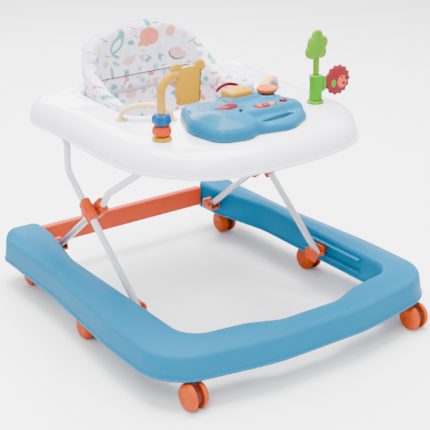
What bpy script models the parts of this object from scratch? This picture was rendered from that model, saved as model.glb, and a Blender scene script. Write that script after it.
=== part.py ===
"""Baby walker: a U-shaped base on six twin-wheel casters, a folding scissor frame of two bent
steel tubes, and a moulded tray that carries a padded seat, two grips and a set of toys.

Metres, +Z up, front towards -Y. The origin is on the floor, under the middle of the base.
Folding lowers the tray: the inner tube turns on its rear feet, and the outer tube's front feet
slide forward along the base.
"""
import math

import bmesh
import bpy
from mathutils import Matrix, Vector

# ---------------------------------------------------------------- driving dimensions
SIDES = (("left", -1.0), ("right", 1.0))
GAP = 0.0005                      # clearance between neighbouring pieces

# base: half outline as corners (x, y, corner radius), from the front round to the rear
BASE_BOTTOM_Z = 0.054
BASE_TOP_Z = 0.112
BASE_WALL = 0.003
BASE_OUTER = ((0.100, -0.346, 0.40), (0.310, -0.306, 0.11), (0.310, -0.120, 0.60),
              (0.290, 0.120, 0.60), (0.288, 0.346, 0.045))
BASE_INNER = ((0.196, 0.342, 0.020), (0.199, 0.270, 0.10), (0.227, 0.130, 0.20),
              (0.227, -0.258, 0.045), (0.120, -0.274, 0.08), (0.062, -0.299, 0.05))
# levels of the top skin: (z and inset on the outer side, z and inset on the inner side)
BASE_LEVELS = ((0.054, 0.0, 0.054, 0.0), (0.058, 0.002, 0.058, 0.0005),
               (0.083, 0.005, 0.099, 0.0015), (0.094, 0.009, 0.106, 0.0045),
               (0.104, 0.0145, 0.1105, 0.0095), (0.112, 0.0205, 0.112, 0.0175))

# casters: the swivel axis of each pair (x, y); the wheels lead the axis by the trail
CASTER_PLACES = (("front", 0.250, -0.294), ("middle", 0.2625, 0.033), ("rear", 0.236, 0.300))
CASTER_TRAIL = 0.014
WHEEL_RADIUS = 0.025
WHEEL_INNER_X = 0.0066            # inner face of each disc, from the middle of the pair
WHEEL_OUTER_X = 0.0215
AXLE_RADIUS = 0.003
FORK_HALF_WIDTH = 0.0060
STEM_RADIUS = 0.0045
BOSS_RADIUS = 0.0115

# scissor frame, in the YZ plane
TUBE_RADIUS = 0.0065
TUBE_WALL = 0.0012
INNER_TUBE_X = 0.187
OUTER_TUBE_X = 0.209
ARM_RUN = 0.162                   # from the middle pivot to a foot, along Y
ARM_RISE = 0.130
TOP_RUN = 0.170                   # from the middle pivot to a tray point, along Y
TOP_RISE = 0.150
PIVOT = Vector((0.0, 0.098, 0.215))
REAR_FOOT = PIVOT + Vector((0.0, ARM_RUN, -ARM_RISE))
FRONT_FOOT = PIVOT + Vector((0.0, -ARM_RUN, -ARM_RISE))
TRAY_HINGE = PIVOT + Vector((0.0, TOP_RUN, TOP_RISE))
TRAY_SLIDE = PIVOT + Vector((0.0, -TOP_RUN, TOP_RISE))
ARM_ANGLE = math.atan2(ARM_RISE, ARM_RUN)
FOOT_OVERHANG = 0.010             # tube past its foot pin
SLIDE_TRAVEL = 0.104              # of the inner tube's top along the tray, when folded
PIN_RADIUS = 0.0030

# tray
DECK_Z = 0.405
TRAY_WALL = 0.003
TRAY_OUTLINE = ((0.050, -0.257, 0.60), (0.165, -0.235, 0.14), (0.249, -0.130, 0.16),
                (0.254, 0.010, 0.60), (0.248, 0.100, 0.80), (0.258, 0.250, 0.085), (0.175, 0.290, 0.20))
TRAY_LEVELS = ((0.3625, 0.0), (0.3665, 0.0), (0.3690, 0.0022), (0.3810, 0.006), (0.3930, 0.016),
               (0.4010, 0.032), (DECK_Z, 0.052))
REAR_RIM_NARROWING = 0.45
OPENING = ((0.060, 0.020, 0.20), (0.145, 0.030, 0.070), (0.147, 0.150, 0.50), (0.142, 0.241, 0.085))
OPENING_LEVELS = ((DECK_Z, -0.016), (0.4025, -0.007), (0.3960, -0.0015), (0.3800, 0.0))

# seat
BAG_CENTRE = (0.0, 0.135)
BAG_LEVELS = ((0.3830, 0.960), (0.3500, 0.945), (0.3150, 0.890), (0.2850, 0.770),
              (0.2690, 0.600), (0.2640, 0.400))
BAG_THICKNESS = 0.005
LEG_HOLE_RADIUS = 0.043
PAD_BOTTOM_Z = 0.386
PAD_THICKNESS = 0.012
PAD_TOP_MIDDLE = 0.530
PAD_TOP_FRONT = 0.414
BOARD_THICKNESS = 0.004

# activity panel
PANEL_BOTTOM_Z = DECK_Z + 0.0003
PANEL_TOP_Z = 0.432
PANEL_WALL = 0.0025
PANEL_OUTLINE = ((-0.052, -0.202, 0.060), (-0.026, -0.188, 0.020), (0.040, -0.202, 0.050),
                 (0.100, -0.165, 0.035), (0.121, -0.120, 0.030), (0.108, -0.088, 0.018),
                 (0.110, -0.042, 0.022), (0.066, -0.032, 0.015), (0.050, -0.012, 0.015),
                 (0.002, -0.012, 0.020), (-0.012, -0.036, 0.015), (-0.075, -0.010, 0.045),
                 (-0.122, -0.110, 0.075), (-0.110, -0.190, 0.060))
PANEL_LEVELS = ((PANEL_BOTTOM_Z, 0.0), (0.4220, 0.0012), (0.4295, 0.0055), (PANEL_TOP_Z, 0.0120))
BUTTON_FOOT_Z = 0.4135            # underside of a button at rest; it presses 3 mm
YELLOW_BUTTON = (0.026, -0.052, 0.050, 0.040, 0.449)      # x, y, width, depth, top
RED_BUTTON = (-0.034, -0.104, 0.0225, 0.0110, 0.4355)     # x, y, half axes, top
SMALL_BUTTON = (0.078, -0.122, 0.0065, 0.0065, 0.4350)
ROLLER_MIDDLE = Vector((0.036, -0.125, 0.4275))
ROLLER_RADIUS = 0.0085
ROLLER_LENGTH = 0.0125
ROLLER_PITCH = 0.0132
ROLLER_SHAFT_RADIUS = 0.0020
DIAL = (0.083, -0.067, 0.0200)                            # x, y, radius
HANDLE_SLOT = ((0.004, -0.170), (0.064, -0.160), 0.0075)  # ends and half width

# grips and toys
GRIP_OUTER_END = Vector((0.172, 0.026, DECK_Z))
GRIP_INNER_END = Vector((0.100, -0.026, DECK_Z))
GRIP_HEIGHT = 0.029
ARM_TOY = Vector((-0.173, -0.109, DECK_Z))
POST_TOY = Vector((0.173, -0.098, DECK_Z))
PLATE_CENTRE = Vector((-0.118, -0.109, 0.492))

# colours, linear RGB
BLUE = (0.045, 0.503, 0.730)
ORANGE = (0.905, 0.168, 0.045)
WHITE = (0.84, 0.84, 0.87)
TUBE_WHITE = (0.78, 0.78, 0.83)
YELLOW = (0.955, 0.565, 0.012)
GREEN = (0.335, 0.665, 0.070)
RED = (0.72, 0.035, 0.075)
CREAM = (0.86, 0.76, 0.60)
CORAL = (0.93, 0.32, 0.22)
CORAL_RED = (0.60, 0.10, 0.11)
DEEP_BLUE = (0.03, 0.30, 0.72)
PINK = (0.75, 0.08, 0.35)
FABRIC = (0.84, 0.82, 0.84)
STEEL = (0.62, 0.62, 0.64)


# ---------------------------------------------------------------- helpers
def clear_scene():
    for old in list(bpy.data.objects):
        bpy.data.objects.remove(old, do_unlink=True)


def material(name, colour, roughness=0.35, metallic=0.0):
    made = bpy.data.materials.new(name + "_material")
    made.use_nodes = True
    shader = made.node_tree.nodes["Principled BSDF"]
    shader.inputs["Base Color"].default_value = (*colour, 1.0)
    shader.inputs["Roughness"].default_value = roughness
    shader.inputs["Metallic"].default_value = metallic
    return made


def add_object(name, bm, colour, origin=(0, 0, 0), roughness=0.35, metallic=0.0, crease=35):
    """Turn a bmesh in world coordinates into an object whose origin is at the given point."""
    bmesh.ops.translate(bm, vec=-Vector(origin), verts=bm.verts)
    if all(len(edge.link_faces) == 2 for edge in bm.edges):
        bmesh.ops.recalc_face_normals(bm, faces=bm.faces)
    mesh = bpy.data.meshes.new(name)
    bm.to_mesh(mesh)
    bm.free()
    mesh.shade_smooth()
    mesh.set_sharp_from_angle(angle=math.radians(crease))
    made = bpy.data.objects.new(name, mesh)
    made.location = origin
    bpy.context.scene.collection.objects.link(made)
    if colour is not None:
        mesh.materials.append(material(name, colour, roughness, metallic))
    return made


def guide(made):
    made.hide_render = True
    made.display_type = "WIRE"
    return made


def combine(target, other, operation):
    """Keep `other` as a wire guide that is cut from, or united with, the target."""
    modifier = target.modifiers.new(operation.title(), "BOOLEAN")
    modifier.operation = operation
    modifier.solver = "EXACT"
    modifier.object = guide(other)


def thicken(target, thickness):
    modifier = target.modifiers.new("Wall", "SOLIDIFY")
    modifier.thickness = thickness
    modifier.offset = -1.0
    modifier.use_even_offset = True


def rounded_outline(corners, steps_per_turn=22):
    """Round each corner (x, y, radius) of a closed polygon with an arc.

    Returns (point, corner index, fraction along that corner's arc) for each point.
    """
    result = []
    count = len(corners)
    for index, (x, y, radius) in enumerate(corners):
        here = Vector((x, y))
        before = Vector(corners[index - 1][:2]) - here
        after = Vector(corners[(index + 1) % count][:2]) - here
        to_before, to_after = before.normalized(), after.normalized()
        turn = math.pi - to_before.angle(to_after)
        reach = radius * math.tan(turn / 2)
        room = 0.42 * min(before.length, after.length)
        if reach > room:
            radius *= room / reach
            reach = room
        start = here + to_before * reach
        end = here + to_after * reach
        centre = here + (to_before + to_after).normalized() * (radius / math.cos(turn / 2))
        steps = max(1, round(steps_per_turn * turn / math.tau))
        from_centre, to_centre = start - centre, end - centre
        swing = from_centre.angle_signed(to_centre)
        for step in range(steps + 1):
            spun = from_centre.copy()
            spun.rotate(Matrix.Rotation(-swing * step / steps, 2))
            result.append((centre + spun, index, step / steps))
    return result


def mirrored(half):
    """A closed polygon that is the same on both sides of x = 0."""
    return tuple(half) + tuple((-x, y, radius) for x, y, radius in reversed(half))


def inward_normals(points):
    """Unit-width miter directions to the left of a closed path that runs anticlockwise."""
    normals = []
    count = len(points)
    for index, point in enumerate(points):
        into = (point - points[index - 1]).normalized()
        out = (points[(index + 1) % count] - point).normalized()
        bisector = Vector((-into.y - out.y, into.x + out.x)).normalized()
        normals.append(bisector / max(0.5, bisector.dot(Vector((-into.y, into.x)))))
    return normals


def bridge(bm, low, high):
    count = len(low)
    for index in range(count):
        following = (index + 1) % count
        bm.faces.new((low[index], low[following], high[following], high[index]))


def level_rings(bm, points, levels, narrowing=None):
    """One ring of vertices for each (z, inset) level, joined by quads.

    `narrowing` may scale the inset from point to point.
    """
    normals = inward_normals(points)
    if narrowing is not None:
        normals = [normal * narrowing(point) for point, normal in zip(points, normals)]
    rings = []
    for z, inset in levels:
        ring = [bm.verts.new((*(point + normal * inset), z)) for point, normal in zip(points, normals)]
        if rings:
            bridge(bm, rings[-1], ring)
        rings.append(ring)
    return rings


def outline_points(corners, steps_per_turn=22):
    return [point for point, _, _ in rounded_outline(corners, steps_per_turn)]


def dome(corners, levels, steps_per_turn=22):
    """An open-bottomed skin whose top level is closed by one flat face."""
    bm = bmesh.new()
    rings = level_rings(bm, outline_points(corners, steps_per_turn), levels)
    bm.faces.new(rings[-1])
    return bm


def bowl(corners, centre, levels, steps_per_turn=18):
    """A skin open at the top whose outline shrinks to the centre by each (z, scale) level."""
    bm = bmesh.new()
    centre = Vector(centre)
    points = outline_points(corners, steps_per_turn)
    rings = []
    for z, scale in levels:
        ring = [bm.verts.new((*centre.lerp(point, scale), z)) for point in points]
        if rings:
            bridge(bm, ring, rings[-1])
        rings.append(ring)
    bm.faces.new(reversed(rings[-1]))
    return bm


def prism(points, bottom, top):
    """A closed straight prism on a plan outline."""
    bm = bmesh.new()
    rings = level_rings(bm, points, ((bottom, 0.0), (top, 0.0)))
    bm.faces.new(reversed(rings[0]))
    bm.faces.new(rings[1])
    return bm


def block(low, high):
    bm = bmesh.new()
    bmesh.ops.create_cube(bm, size=1.0)
    low, high = Vector(low), Vector(high)
    bmesh.ops.scale(bm, vec=high - low, verts=bm.verts)
    bmesh.ops.translate(bm, vec=(low + high) / 2, verts=bm.verts)
    return bm


def rounded_block(name, low, high, radius, colour, segments=2, **options):
    made = add_object(name, block(low, high), colour, **options)
    modifier = made.modifiers.new("Rounding", "BEVEL")
    modifier.width = radius
    modifier.segments = segments
    return made


def turned(profile, segments, axis="Z", centre=(0, 0, 0)):
    """A closed solid of revolution; the profile is (radius, height) from bottom to top."""
    bm = bmesh.new()
    rings = []
    for radius, height in profile:
        if radius == 0.0:
            rings.append([bm.verts.new((0, 0, height))])
            continue
        angles = (math.tau * step / segments for step in range(segments))
        ring = [bm.verts.new((radius * math.cos(a), radius * math.sin(a), height)) for a in angles]
        rings.append(ring)
    for low, high in zip(rings, rings[1:]):
        if len(low) == 1:
            for step in range(segments):
                bm.faces.new((low[0], high[(step + 1) % segments], high[step]))
        elif len(high) == 1:
            for step in range(segments):
                bm.faces.new((low[step], low[(step + 1) % segments], high[0]))
        else:
            bridge(bm, low, high)
    if len(rings[0]) > 1:
        bm.faces.new(reversed(rings[0]))
    if len(rings[-1]) > 1:
        bm.faces.new(rings[-1])
    turn = {"X": Matrix.Rotation(math.pi / 2, 4, "Y"), "Y": Matrix.Rotation(-math.pi / 2, 4, "X"),
            "Z": Matrix.Identity(4)}[axis]
    bmesh.ops.transform(bm, matrix=Matrix.Translation(centre) @ turn, verts=bm.verts)
    return bm


def rod(start, end, radius, segments=12):
    """A closed straight cylinder between two points."""
    start, end = Vector(start), Vector(end)
    bm = turned(((radius, 0.0), (radius, (end - start).length)), segments)
    turn = (end - start).to_track_quat("Z", "Y").to_matrix().to_4x4()
    bmesh.ops.transform(bm, matrix=Matrix.Translation(start) @ turn, verts=bm.verts)
    return bm


def bent_path(corners, steps=3):
    """Round the inner corners (point, bend radius) of an open path in space."""
    points = [corners[0][0].copy()]
    for (before, _), (here, radius), (after, _) in zip(corners, corners[1:], corners[2:]):
        to_before, to_after = (before - here).normalized(), (after - here).normalized()
        turn = math.pi - to_before.angle(to_after)
        reach = radius * math.tan(turn / 2)
        middle = (to_before + to_after).normalized()
        centre = here + middle * (radius / math.cos(turn / 2))
        start_arm = (here + to_before * reach - centre).normalized()
        end_arm = (here + to_after * reach - centre).normalized()
        for step in range(steps + 1):
            points.append(centre + start_arm.slerp(end_arm, step / steps) * radius)
    points.append(corners[-1][0].copy())
    return points


def swept_rings(bm, points, section):
    """Sweep a closed section, a list of (side, up) pairs, along a path without twist."""
    rings = []
    direction = (points[1] - points[0]).normalized()
    side = direction.orthogonal().normalized()
    for index, point in enumerate(points):
        ahead = points[min(index + 1, len(points) - 1)] - point
        behind = point - points[max(index - 1, 0)]
        heading = (ahead.normalized() + behind.normalized()).normalized()
        side = (side - heading * side.dot(heading)).normalized()
        up = heading.cross(side)
        rings.append([bm.verts.new(point + side * a + up * b) for a, b in section])
    for low, high in zip(rings, rings[1:]):
        bridge(bm, low, high)
    return rings


def circle(radius, sides):
    angles = [math.tau * step / sides for step in range(sides)]
    return [(radius * math.cos(angle), radius * math.sin(angle)) for angle in angles]


def ellipse_outline(x, y, half_x, half_y, sides=20):
    angles = [math.tau * step / sides for step in range(sides)]
    return [Vector((x + half_x * math.cos(a), y + half_y * math.sin(a))) for a in angles]


def merge(*parts):
    """Put several closed shapes into one mesh, for use as a guide."""
    whole = bmesh.new()
    for part in parts:
        held = bpy.data.meshes.new("part_of_guide")
        part.to_mesh(held)
        part.free()
        whole.from_mesh(held)
        bpy.data.meshes.remove(held)
    return whole


def unite(target, *parts):
    for index, part in enumerate(parts):
        combine(target, add_object(f"{target.name}_add_{index}", part, None), "UNION")


def unite_named(target, name, part):
    combine(target, add_object(name, part, None), "UNION")


def cut(target, *parts):
    for index, part in enumerate(parts):
        combine(target, add_object(f"{target.name}_cut_{index}", part, None), "DIFFERENCE")


# ---------------------------------------------------------------- base
def base_skin():
    """The top skin of the base: lip, walls, shoulders and a flat crown."""
    corners = mirrored(BASE_OUTER + BASE_INNER)
    last = len(corners) - 1
    rear_outer = len(BASE_OUTER) - 1
    outline = rounded_outline(corners, steps_per_turn=22)
    points = [point for point, _, _ in outline]
    normals = inward_normals(points)
    innerness = []
    for _, corner, fraction in outline:
        side = corner if corner <= last // 2 else last - corner
        along = fraction if corner <= last // 2 else 1 - fraction
        innerness.append(along if side == rear_outer else float(side > rear_outer))
    bm = bmesh.new()
    rings = []
    for outer_z, outer_inset, inner_z, inner_inset in BASE_LEVELS:
        ring = []
        for point, normal, share in zip(points, normals, innerness):
            inset = outer_inset + (inner_inset - outer_inset) * share
            z = outer_z + (inner_z - outer_z) * share
            ring.append(bm.verts.new((*(point + normal * inset), z)))
        if rings:
            bridge(bm, rings[-1], ring)
        rings.append(ring)
    bm.faces.new(rings[-1])
    return bm


def caster_axes():
    for place, x, y in CASTER_PLACES:
        for side, sign in SIDES:
            yield f"{place}_{side}", sign * x, y


def make_base():
    base = add_object("base_shell", base_skin(), BLUE, roughness=0.3)
    thicken(base, BASE_WALL)
    bosses = [rod((x, y, BASE_BOTTOM_Z), (x, y, BASE_TOP_Z - 0.0015), BOSS_RADIUS, 14)
              for _, x, y in caster_axes()]
    tracks = []
    for _, sign in SIDES:
        for low, high in ((0.0705, 0.0740), (0.0960, 0.0990)):
            ends = sorted((sign * 0.2195, sign * 0.2295))
            tracks.append(block((ends[0], -0.178, low), (ends[1], -0.035, high)))
    bores = [rod((x, y, BASE_BOTTOM_Z - 0.01), (x, y, 0.094), STEM_RADIUS + 0.0003, 12)
             for _, x, y in caster_axes()]
    unite(base, merge(*bosses), merge(*tracks))
    cut(base, merge(*bores))


def make_crossbar():
    rounded_block("rear_crossbar", (-0.1957, 0.317, 0.061), (0.1957, 0.333, 0.103), 0.0025,
                  ORANGE, roughness=0.35)


# ---------------------------------------------------------------- casters
def make_caster(name, x, y):
    """A swivel that carries one axle, and the twin wheels that turn on it."""
    axle_y, axle_z = y - CASTER_TRAIL, WHEEL_RADIUS
    web = [Vector((axle_y + 0.0185 * math.cos(a), axle_z + 0.0185 * math.sin(a)))
           for a in (math.radians(140 + 22 * step) for step in range(10))]
    web += [Vector((y + 0.0085, 0.0400)), Vector((y + 0.0085, 0.0525)),
            Vector((axle_y - 0.0030, 0.0525))]
    plate = prism(web, -FORK_HALF_WIDTH, FORK_HALF_WIDTH)
    upright = Matrix(((0, 0, 1, x), (1, 0, 0, 0), (0, 1, 0, 0), (0, 0, 0, 1)))
    bmesh.ops.transform(plate, matrix=upright, verts=plate.verts)
    swivel = add_object(f"caster_swivel_{name}", plate, ORANGE, origin=(x, y, 0))
    stem = turned(((0.0125, 0.0508), (0.0125, 0.0536), (STEM_RADIUS, 0.0536), (STEM_RADIUS, 0.090)),
                  14, centre=(x, y, 0))
    unite(swivel, stem)
    bore = AXLE_RADIUS + 0.0004
    cut(swivel, rod((x - 0.02, axle_y, axle_z), (x + 0.02, axle_y, axle_z), bore, 12))
    half = ((0.0, WHEEL_OUTER_X - 0.0015), (0.0060, WHEEL_OUTER_X - 0.0002),
            (0.0200, WHEEL_OUTER_X - 0.0020), (WHEEL_RADIUS, WHEEL_OUTER_X - 0.0075),
            (WHEEL_RADIUS, WHEEL_INNER_X), (AXLE_RADIUS, WHEEL_INNER_X))
    profile = [(radius, -across) for radius, across in half]
    profile += [(radius, across) for radius, across in reversed(half)]
    wheels = turned(profile, 18, axis="X", centre=(x, axle_y, axle_z))
    add_object(f"twin_wheels_{name}", wheels, ORANGE, origin=(x, axle_y, axle_z), roughness=0.4)


# ---------------------------------------------------------------- scissor frame
def at_x(point, x):
    return Vector((x, point.y, point.z))


def bent_tube(name, half_path, tube_x, origin, colour):
    """A U-shaped tube: a half path in the YZ plane at +x, mirrored across the walker."""
    right = [(at_x(point, tube_x), radius) for point, radius in half_path]
    left = [(at_x(point, -tube_x), radius) for point, radius in reversed(half_path)]
    bm = bmesh.new()
    swept_rings(bm, bent_path(right + left), circle(TUBE_RADIUS, 8))
    tube = add_object(name, bm, colour, origin=origin, roughness=0.25)
    thicken(tube, TUBE_WALL)
    return tube


def make_tubes():
    down_back = (REAR_FOOT - PIVOT).normalized()
    down_front = (FRONT_FOOT - PIVOT).normalized()
    inner_path = ((REAR_FOOT + down_back * FOOT_OVERHANG, 0.0),
                  (PIVOT - down_back * 0.026, 0.012),
                  (Vector((0, 0.0600, 0.2560)), 0.014),
                  (Vector((0, -0.0500, 0.3270)), 0.020),
                  (TRAY_SLIDE, 0.026))
    outer_path = ((FRONT_FOOT + down_front * FOOT_OVERHANG, 0.0),
                  (Vector((0, 0.1720, 0.2740)), 0.030),
                  (Vector((0, 0.1680, 0.3380)), 0.022),
                  (TRAY_HINGE, 0.055))
    inner = bent_tube("inner_leg_tube", inner_path, INNER_TUBE_X, REAR_FOOT, TUBE_WHITE)
    outer = bent_tube("outer_leg_tube", outer_path, OUTER_TUBE_X, PIVOT, TUBE_WHITE)
    reach = 0.24
    pin_hole = PIN_RADIUS + 0.0004
    for tube, foot, hole in ((inner, REAR_FOOT, pin_hole), (outer, FRONT_FOOT, 0.0039)):
        cut(tube, merge(rod(at_x(PIVOT, -reach), at_x(PIVOT, reach), pin_hole, 10),
                        rod(at_x(foot, -reach), at_x(foot, reach), hole, 10)))


def pivot_clip(name, sign, tube_x, lean, colour):
    """A sleeve that grips a tube at the middle pivot, leaning with that tube."""
    half_x, half_along, half_across = 0.0095, 0.022, 0.0115
    clip = add_object(name, block((-half_x, -half_along, -half_across),
                                  (half_x, half_along, half_across)), colour)
    clip.location = at_x(PIVOT, sign * tube_x)
    clip.rotation_euler = (lean, 0, 0)
    rounding = clip.modifiers.new("Rounding", "BEVEL")
    rounding.width = 0.006
    rounding.segments = 1
    along = Vector((0, math.cos(lean), math.sin(lean))) * 0.05
    centre = at_x(PIVOT, sign * tube_x)
    cut(clip, rod(centre - along, centre + along, TUBE_RADIUS + 0.0004, 12),
        rod(centre - Vector((0.02, 0, 0)), centre + Vector((0.02, 0, 0)), PIN_RADIUS + 0.0004, 10))


def make_pivots():
    for side, sign in SIDES:
        pivot_clip(f"outer_pivot_clip_{side}", sign, OUTER_TUBE_X, ARM_ANGLE, ORANGE)
        pivot_clip(f"inner_pivot_clip_{side}", sign, INNER_TUBE_X, -ARM_ANGLE, ORANGE)
        inside, outside = INNER_TUBE_X - 0.0098, OUTER_TUBE_X + 0.0098
        heads = ((0.0060, inside - 0.0025), (0.0060, inside), (PIN_RADIUS, inside),
                 (PIN_RADIUS, outside), (0.0060, outside), (0.0060, outside + 0.0025))
        if sign < 0:
            heads = tuple((radius, -across) for radius, across in reversed(heads))
        add_object(f"pivot_pin_{side}", turned(heads, 10, axis="X", centre=PIVOT), STEEL,
                   origin=at_x(PIVOT, sign * 0.198), roughness=0.3, metallic=1.0)


def span(sign, inside, outside):
    """Low and high x of a piece that is mirrored to the side of the given sign."""
    return sorted((sign * inside, sign * outside))


def make_feet():
    """Fixed brackets for the rear feet and sliding shoes for the front feet."""
    for side, sign in SIDES:
        low, high = span(sign, INNER_TUBE_X - 0.0105, INNER_TUBE_X + 0.0105)
        bracket = rounded_block(f"rear_foot_bracket_{side}", (low, 0.240, 0.066),
                                (high, 0.284, 0.099), 0.003, ORANGE)
        low, high = span(sign, INNER_TUBE_X - 0.0073, INNER_TUBE_X + 0.0073)
        cut(bracket, block((low, 0.230, 0.0705), (high, 0.2775, 0.120)))
        low, high = span(sign, INNER_TUBE_X - 0.0090, INNER_TUBE_X + 0.0090)
        unite(bracket, rod(at_x(REAR_FOOT, low), at_x(REAR_FOOT, high), PIN_RADIUS, 10))

        low, high = span(sign, OUTER_TUBE_X + 0.0095, OUTER_TUBE_X + 0.0172)
        shoe = rounded_block(f"front_foot_slider_{side}",
                             (low, FRONT_FOOT.y - 0.015, 0.0748), (high, FRONT_FOOT.y + 0.015, 0.0952),
                             0.002, ORANGE, origin=at_x(FRONT_FOOT, sign * OUTER_TUBE_X))
        rivet = ((0.0060, OUTER_TUBE_X - 0.0100), (0.0060, OUTER_TUBE_X - 0.0072),
                 (0.0034, OUTER_TUBE_X - 0.0072), (0.0034, OUTER_TUBE_X + 0.0120))
        if sign < 0:
            rivet = tuple((radius, -across) for radius, across in reversed(rivet))
        unite(shoe, turned(rivet, 12, axis="X", centre=FRONT_FOOT))


# ---------------------------------------------------------------- tray
def rim_narrowing(point):
    """The tray's rim is narrower behind the seat."""
    share = min(1.0, max(0.0, (point.y - 0.05) / 0.17))
    return 1.0 - REAR_RIM_NARROWING * share * share * (3 - 2 * share)


def make_tray():
    bm = bmesh.new()
    rim = level_rings(bm, outline_points(mirrored(TRAY_OUTLINE)), TRAY_LEVELS, rim_narrowing)
    mouth = level_rings(bm, outline_points(mirrored(OPENING)), OPENING_LEVELS)
    edges = set()
    for ring in (rim[-1], mouth[0]):
        for index, vertex in enumerate(ring):
            edges.add(bm.edges.get((vertex, ring[(index + 1) % len(ring)])))
    deck = bmesh.ops.triangle_fill(bm, edges=list(edges), use_beauty=True)["geom"]
    bm.normal_update()
    for face in deck:
        if isinstance(face, bmesh.types.BMFace) and face.normal.z < 0:
            face.normal_flip()
    tray = add_object("tray_shell", bm, WHITE, origin=TRAY_HINGE, roughness=0.3)
    thicken(tray, TRAY_WALL)


def make_tray_fittings():
    """Hinge clamps for the outer tube, slide rails and a height lock for the inner tube."""
    under_deck = DECK_Z - TRAY_WALL - GAP
    bore = TUBE_RADIUS + 0.0004
    for side, sign in SIDES:
        low, high = span(sign, 0.124, 0.148)
        clamp = rounded_block(f"tray_hinge_clamp_{side}", (low, 0.2575, 0.3540),
                              (high, 0.2785, 0.3780), 0.003, WHITE)
        cut(clamp, rod(at_x(TRAY_HINGE, low - 0.01), at_x(TRAY_HINGE, high + 0.01), bore, 14))
        low, high = span(sign, 0.128, 0.146)
        front, rear = TRAY_SLIDE.y - SLIDE_TRAVEL, TRAY_SLIDE.y + 0.003
        rail = rounded_block(f"tray_slide_rail_{side}", (low, front - 0.013, 0.3520),
                             (high, rear + 0.013, under_deck - 0.0060), 0.003, WHITE)
        slot = block((low - 0.01, front - bore, TRAY_SLIDE.z - bore),
                     (high + 0.01, rear + bore, TRAY_SLIDE.z + bore))
        cut(rail, slot)
    housing = rounded_block("height_lock_housing", (-0.030, -0.104, 0.3790),
                            (0.030, -0.040, under_deck), 0.002, WHITE)
    cut(housing, block((-0.0105, -0.0825, 0.3700), (0.0105, -0.0615, 0.4100)))
    rounded_block("height_lock_pawl", (-0.0100, -0.0820, TRAY_SLIDE.z + TUBE_RADIUS + 0.0007),
                  (0.0100, -0.0620, 0.3960), 0.001, ORANGE, origin=(0, -0.072, 0.384))


# ---------------------------------------------------------------- seat
def seat_edge_stations(count=31):
    """Evenly spaced plan points, with inward normals, round the rear of the opening."""
    outline = [p for p in outline_points(mirrored(OPENING), steps_per_turn=44) if p.y > 0.045]
    lengths = [0.0]
    for before, here in zip(outline, outline[1:]):
        lengths.append(lengths[-1] + (here - before).length)
    points = []
    for index in range(count):
        target = lengths[-1] * index / (count - 1)
        after = max(1, next(i for i, length in enumerate(lengths) if length >= target - 1e-9))
        share = (target - lengths[after - 1]) / (lengths[after] - lengths[after - 1])
        points.append(outline[after - 1].lerp(outline[after], share))
    stations = []
    for index, point in enumerate(points):
        heading = (points[min(index + 1, count - 1)] - points[max(index - 1, 0)]).normalized()
        stations.append((point, Vector((-heading.y, heading.x))))
    return stations


def pad_top(point):
    """Height of the seat's edge: low beside the child, rising to the backrest."""
    rise = max(0.0, (point.y - 0.100) / 0.146)
    across = min(1.0, abs(point.x) / 0.147)
    crown = math.sqrt(max(0.0, 1.0 - 0.78 * across ** 2.2))
    return PAD_TOP_FRONT + (PAD_TOP_MIDDLE - PAD_TOP_FRONT) * rise ** 1.6 * crown


def upright_strip(stations, bottom, top_of, outer_inset, thickness, lean):
    """A wall of even thickness that stands on the seat opening's rear edge."""
    bm = bmesh.new()
    rings = []
    for point, normal in stations:
        top = top_of(point)
        height = top - bottom
        section = ((outer_inset, 0.0), (outer_inset, 0.5), (outer_inset + 0.1 * thickness, 0.9),
                   (outer_inset + 0.5 * thickness, 1.0), (outer_inset + 0.9 * thickness, 0.9),
                   (outer_inset + thickness, 0.5), (outer_inset + thickness, 0.0))
        ring = []
        for inset, share in section:
            spot = point + normal * (inset - lean * share * height)
            ring.append(bm.verts.new((*spot, bottom + share * height)))
        if rings:
            bridge(bm, rings[-1], ring)
        rings.append(ring)
    bm.faces.new(rings[0])
    bm.faces.new(reversed(rings[-1]))
    return bm


def make_seat():
    bag = add_object("seat_bag", bowl(mirrored(OPENING), BAG_CENTRE, BAG_LEVELS), FABRIC, roughness=0.9)
    thicken(bag, BAG_THICKNESS)
    for index, sign in enumerate((-1, 1)):
        start, end = Vector((sign * 0.066, -0.05, 0.262)), Vector((sign * 0.050, 0.13, 0.335))
        hole = add_object(f"seat_bag_leg_hole_{index}", rod(start, end, LEG_HOLE_RADIUS, 16), None)
        combine(bag, hole, "DIFFERENCE")
    stations = seat_edge_stations()
    pad = upright_strip(stations, PAD_BOTTOM_Z, pad_top, 0.0025, PAD_THICKNESS, 0.12)
    add_object("seat_back_pad", pad, FABRIC, roughness=0.9)
    behind = [station for station in stations if abs(station[0].x) < 0.118 and station[0].y > 0.2]
    board = upright_strip(behind, DECK_Z + 0.0012, lambda p: pad_top(p) - 0.012,
                          -0.0082, BOARD_THICKNESS, 0.12)
    add_object("backrest_board", board, WHITE, roughness=0.5)


# ---------------------------------------------------------------- activity panel
def capsule(start, end, half_width, steps=6):
    start, end = Vector(start), Vector(end)
    along = (end - start).normalized()
    points = []
    for centre, first in ((end, -math.pi / 2), (start, math.pi / 2)):
        for step in range(steps + 1):
            angle = first + math.pi * step / steps
            arm = along * math.cos(angle) + Vector((-along.y, along.x)) * math.sin(angle)
            points.append(centre + arm * half_width)
    return points


def rectangle(x, y, width, depth, radius, grow=0.0):
    half_x, half_y = width / 2 + grow, depth / 2 + grow
    corners = [(x + a * half_x, y + b * half_y, radius) for a, b in ((-1, -1), (1, -1), (1, 1), (-1, 1))]
    return outline_points(corners, steps_per_turn=12)


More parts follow.
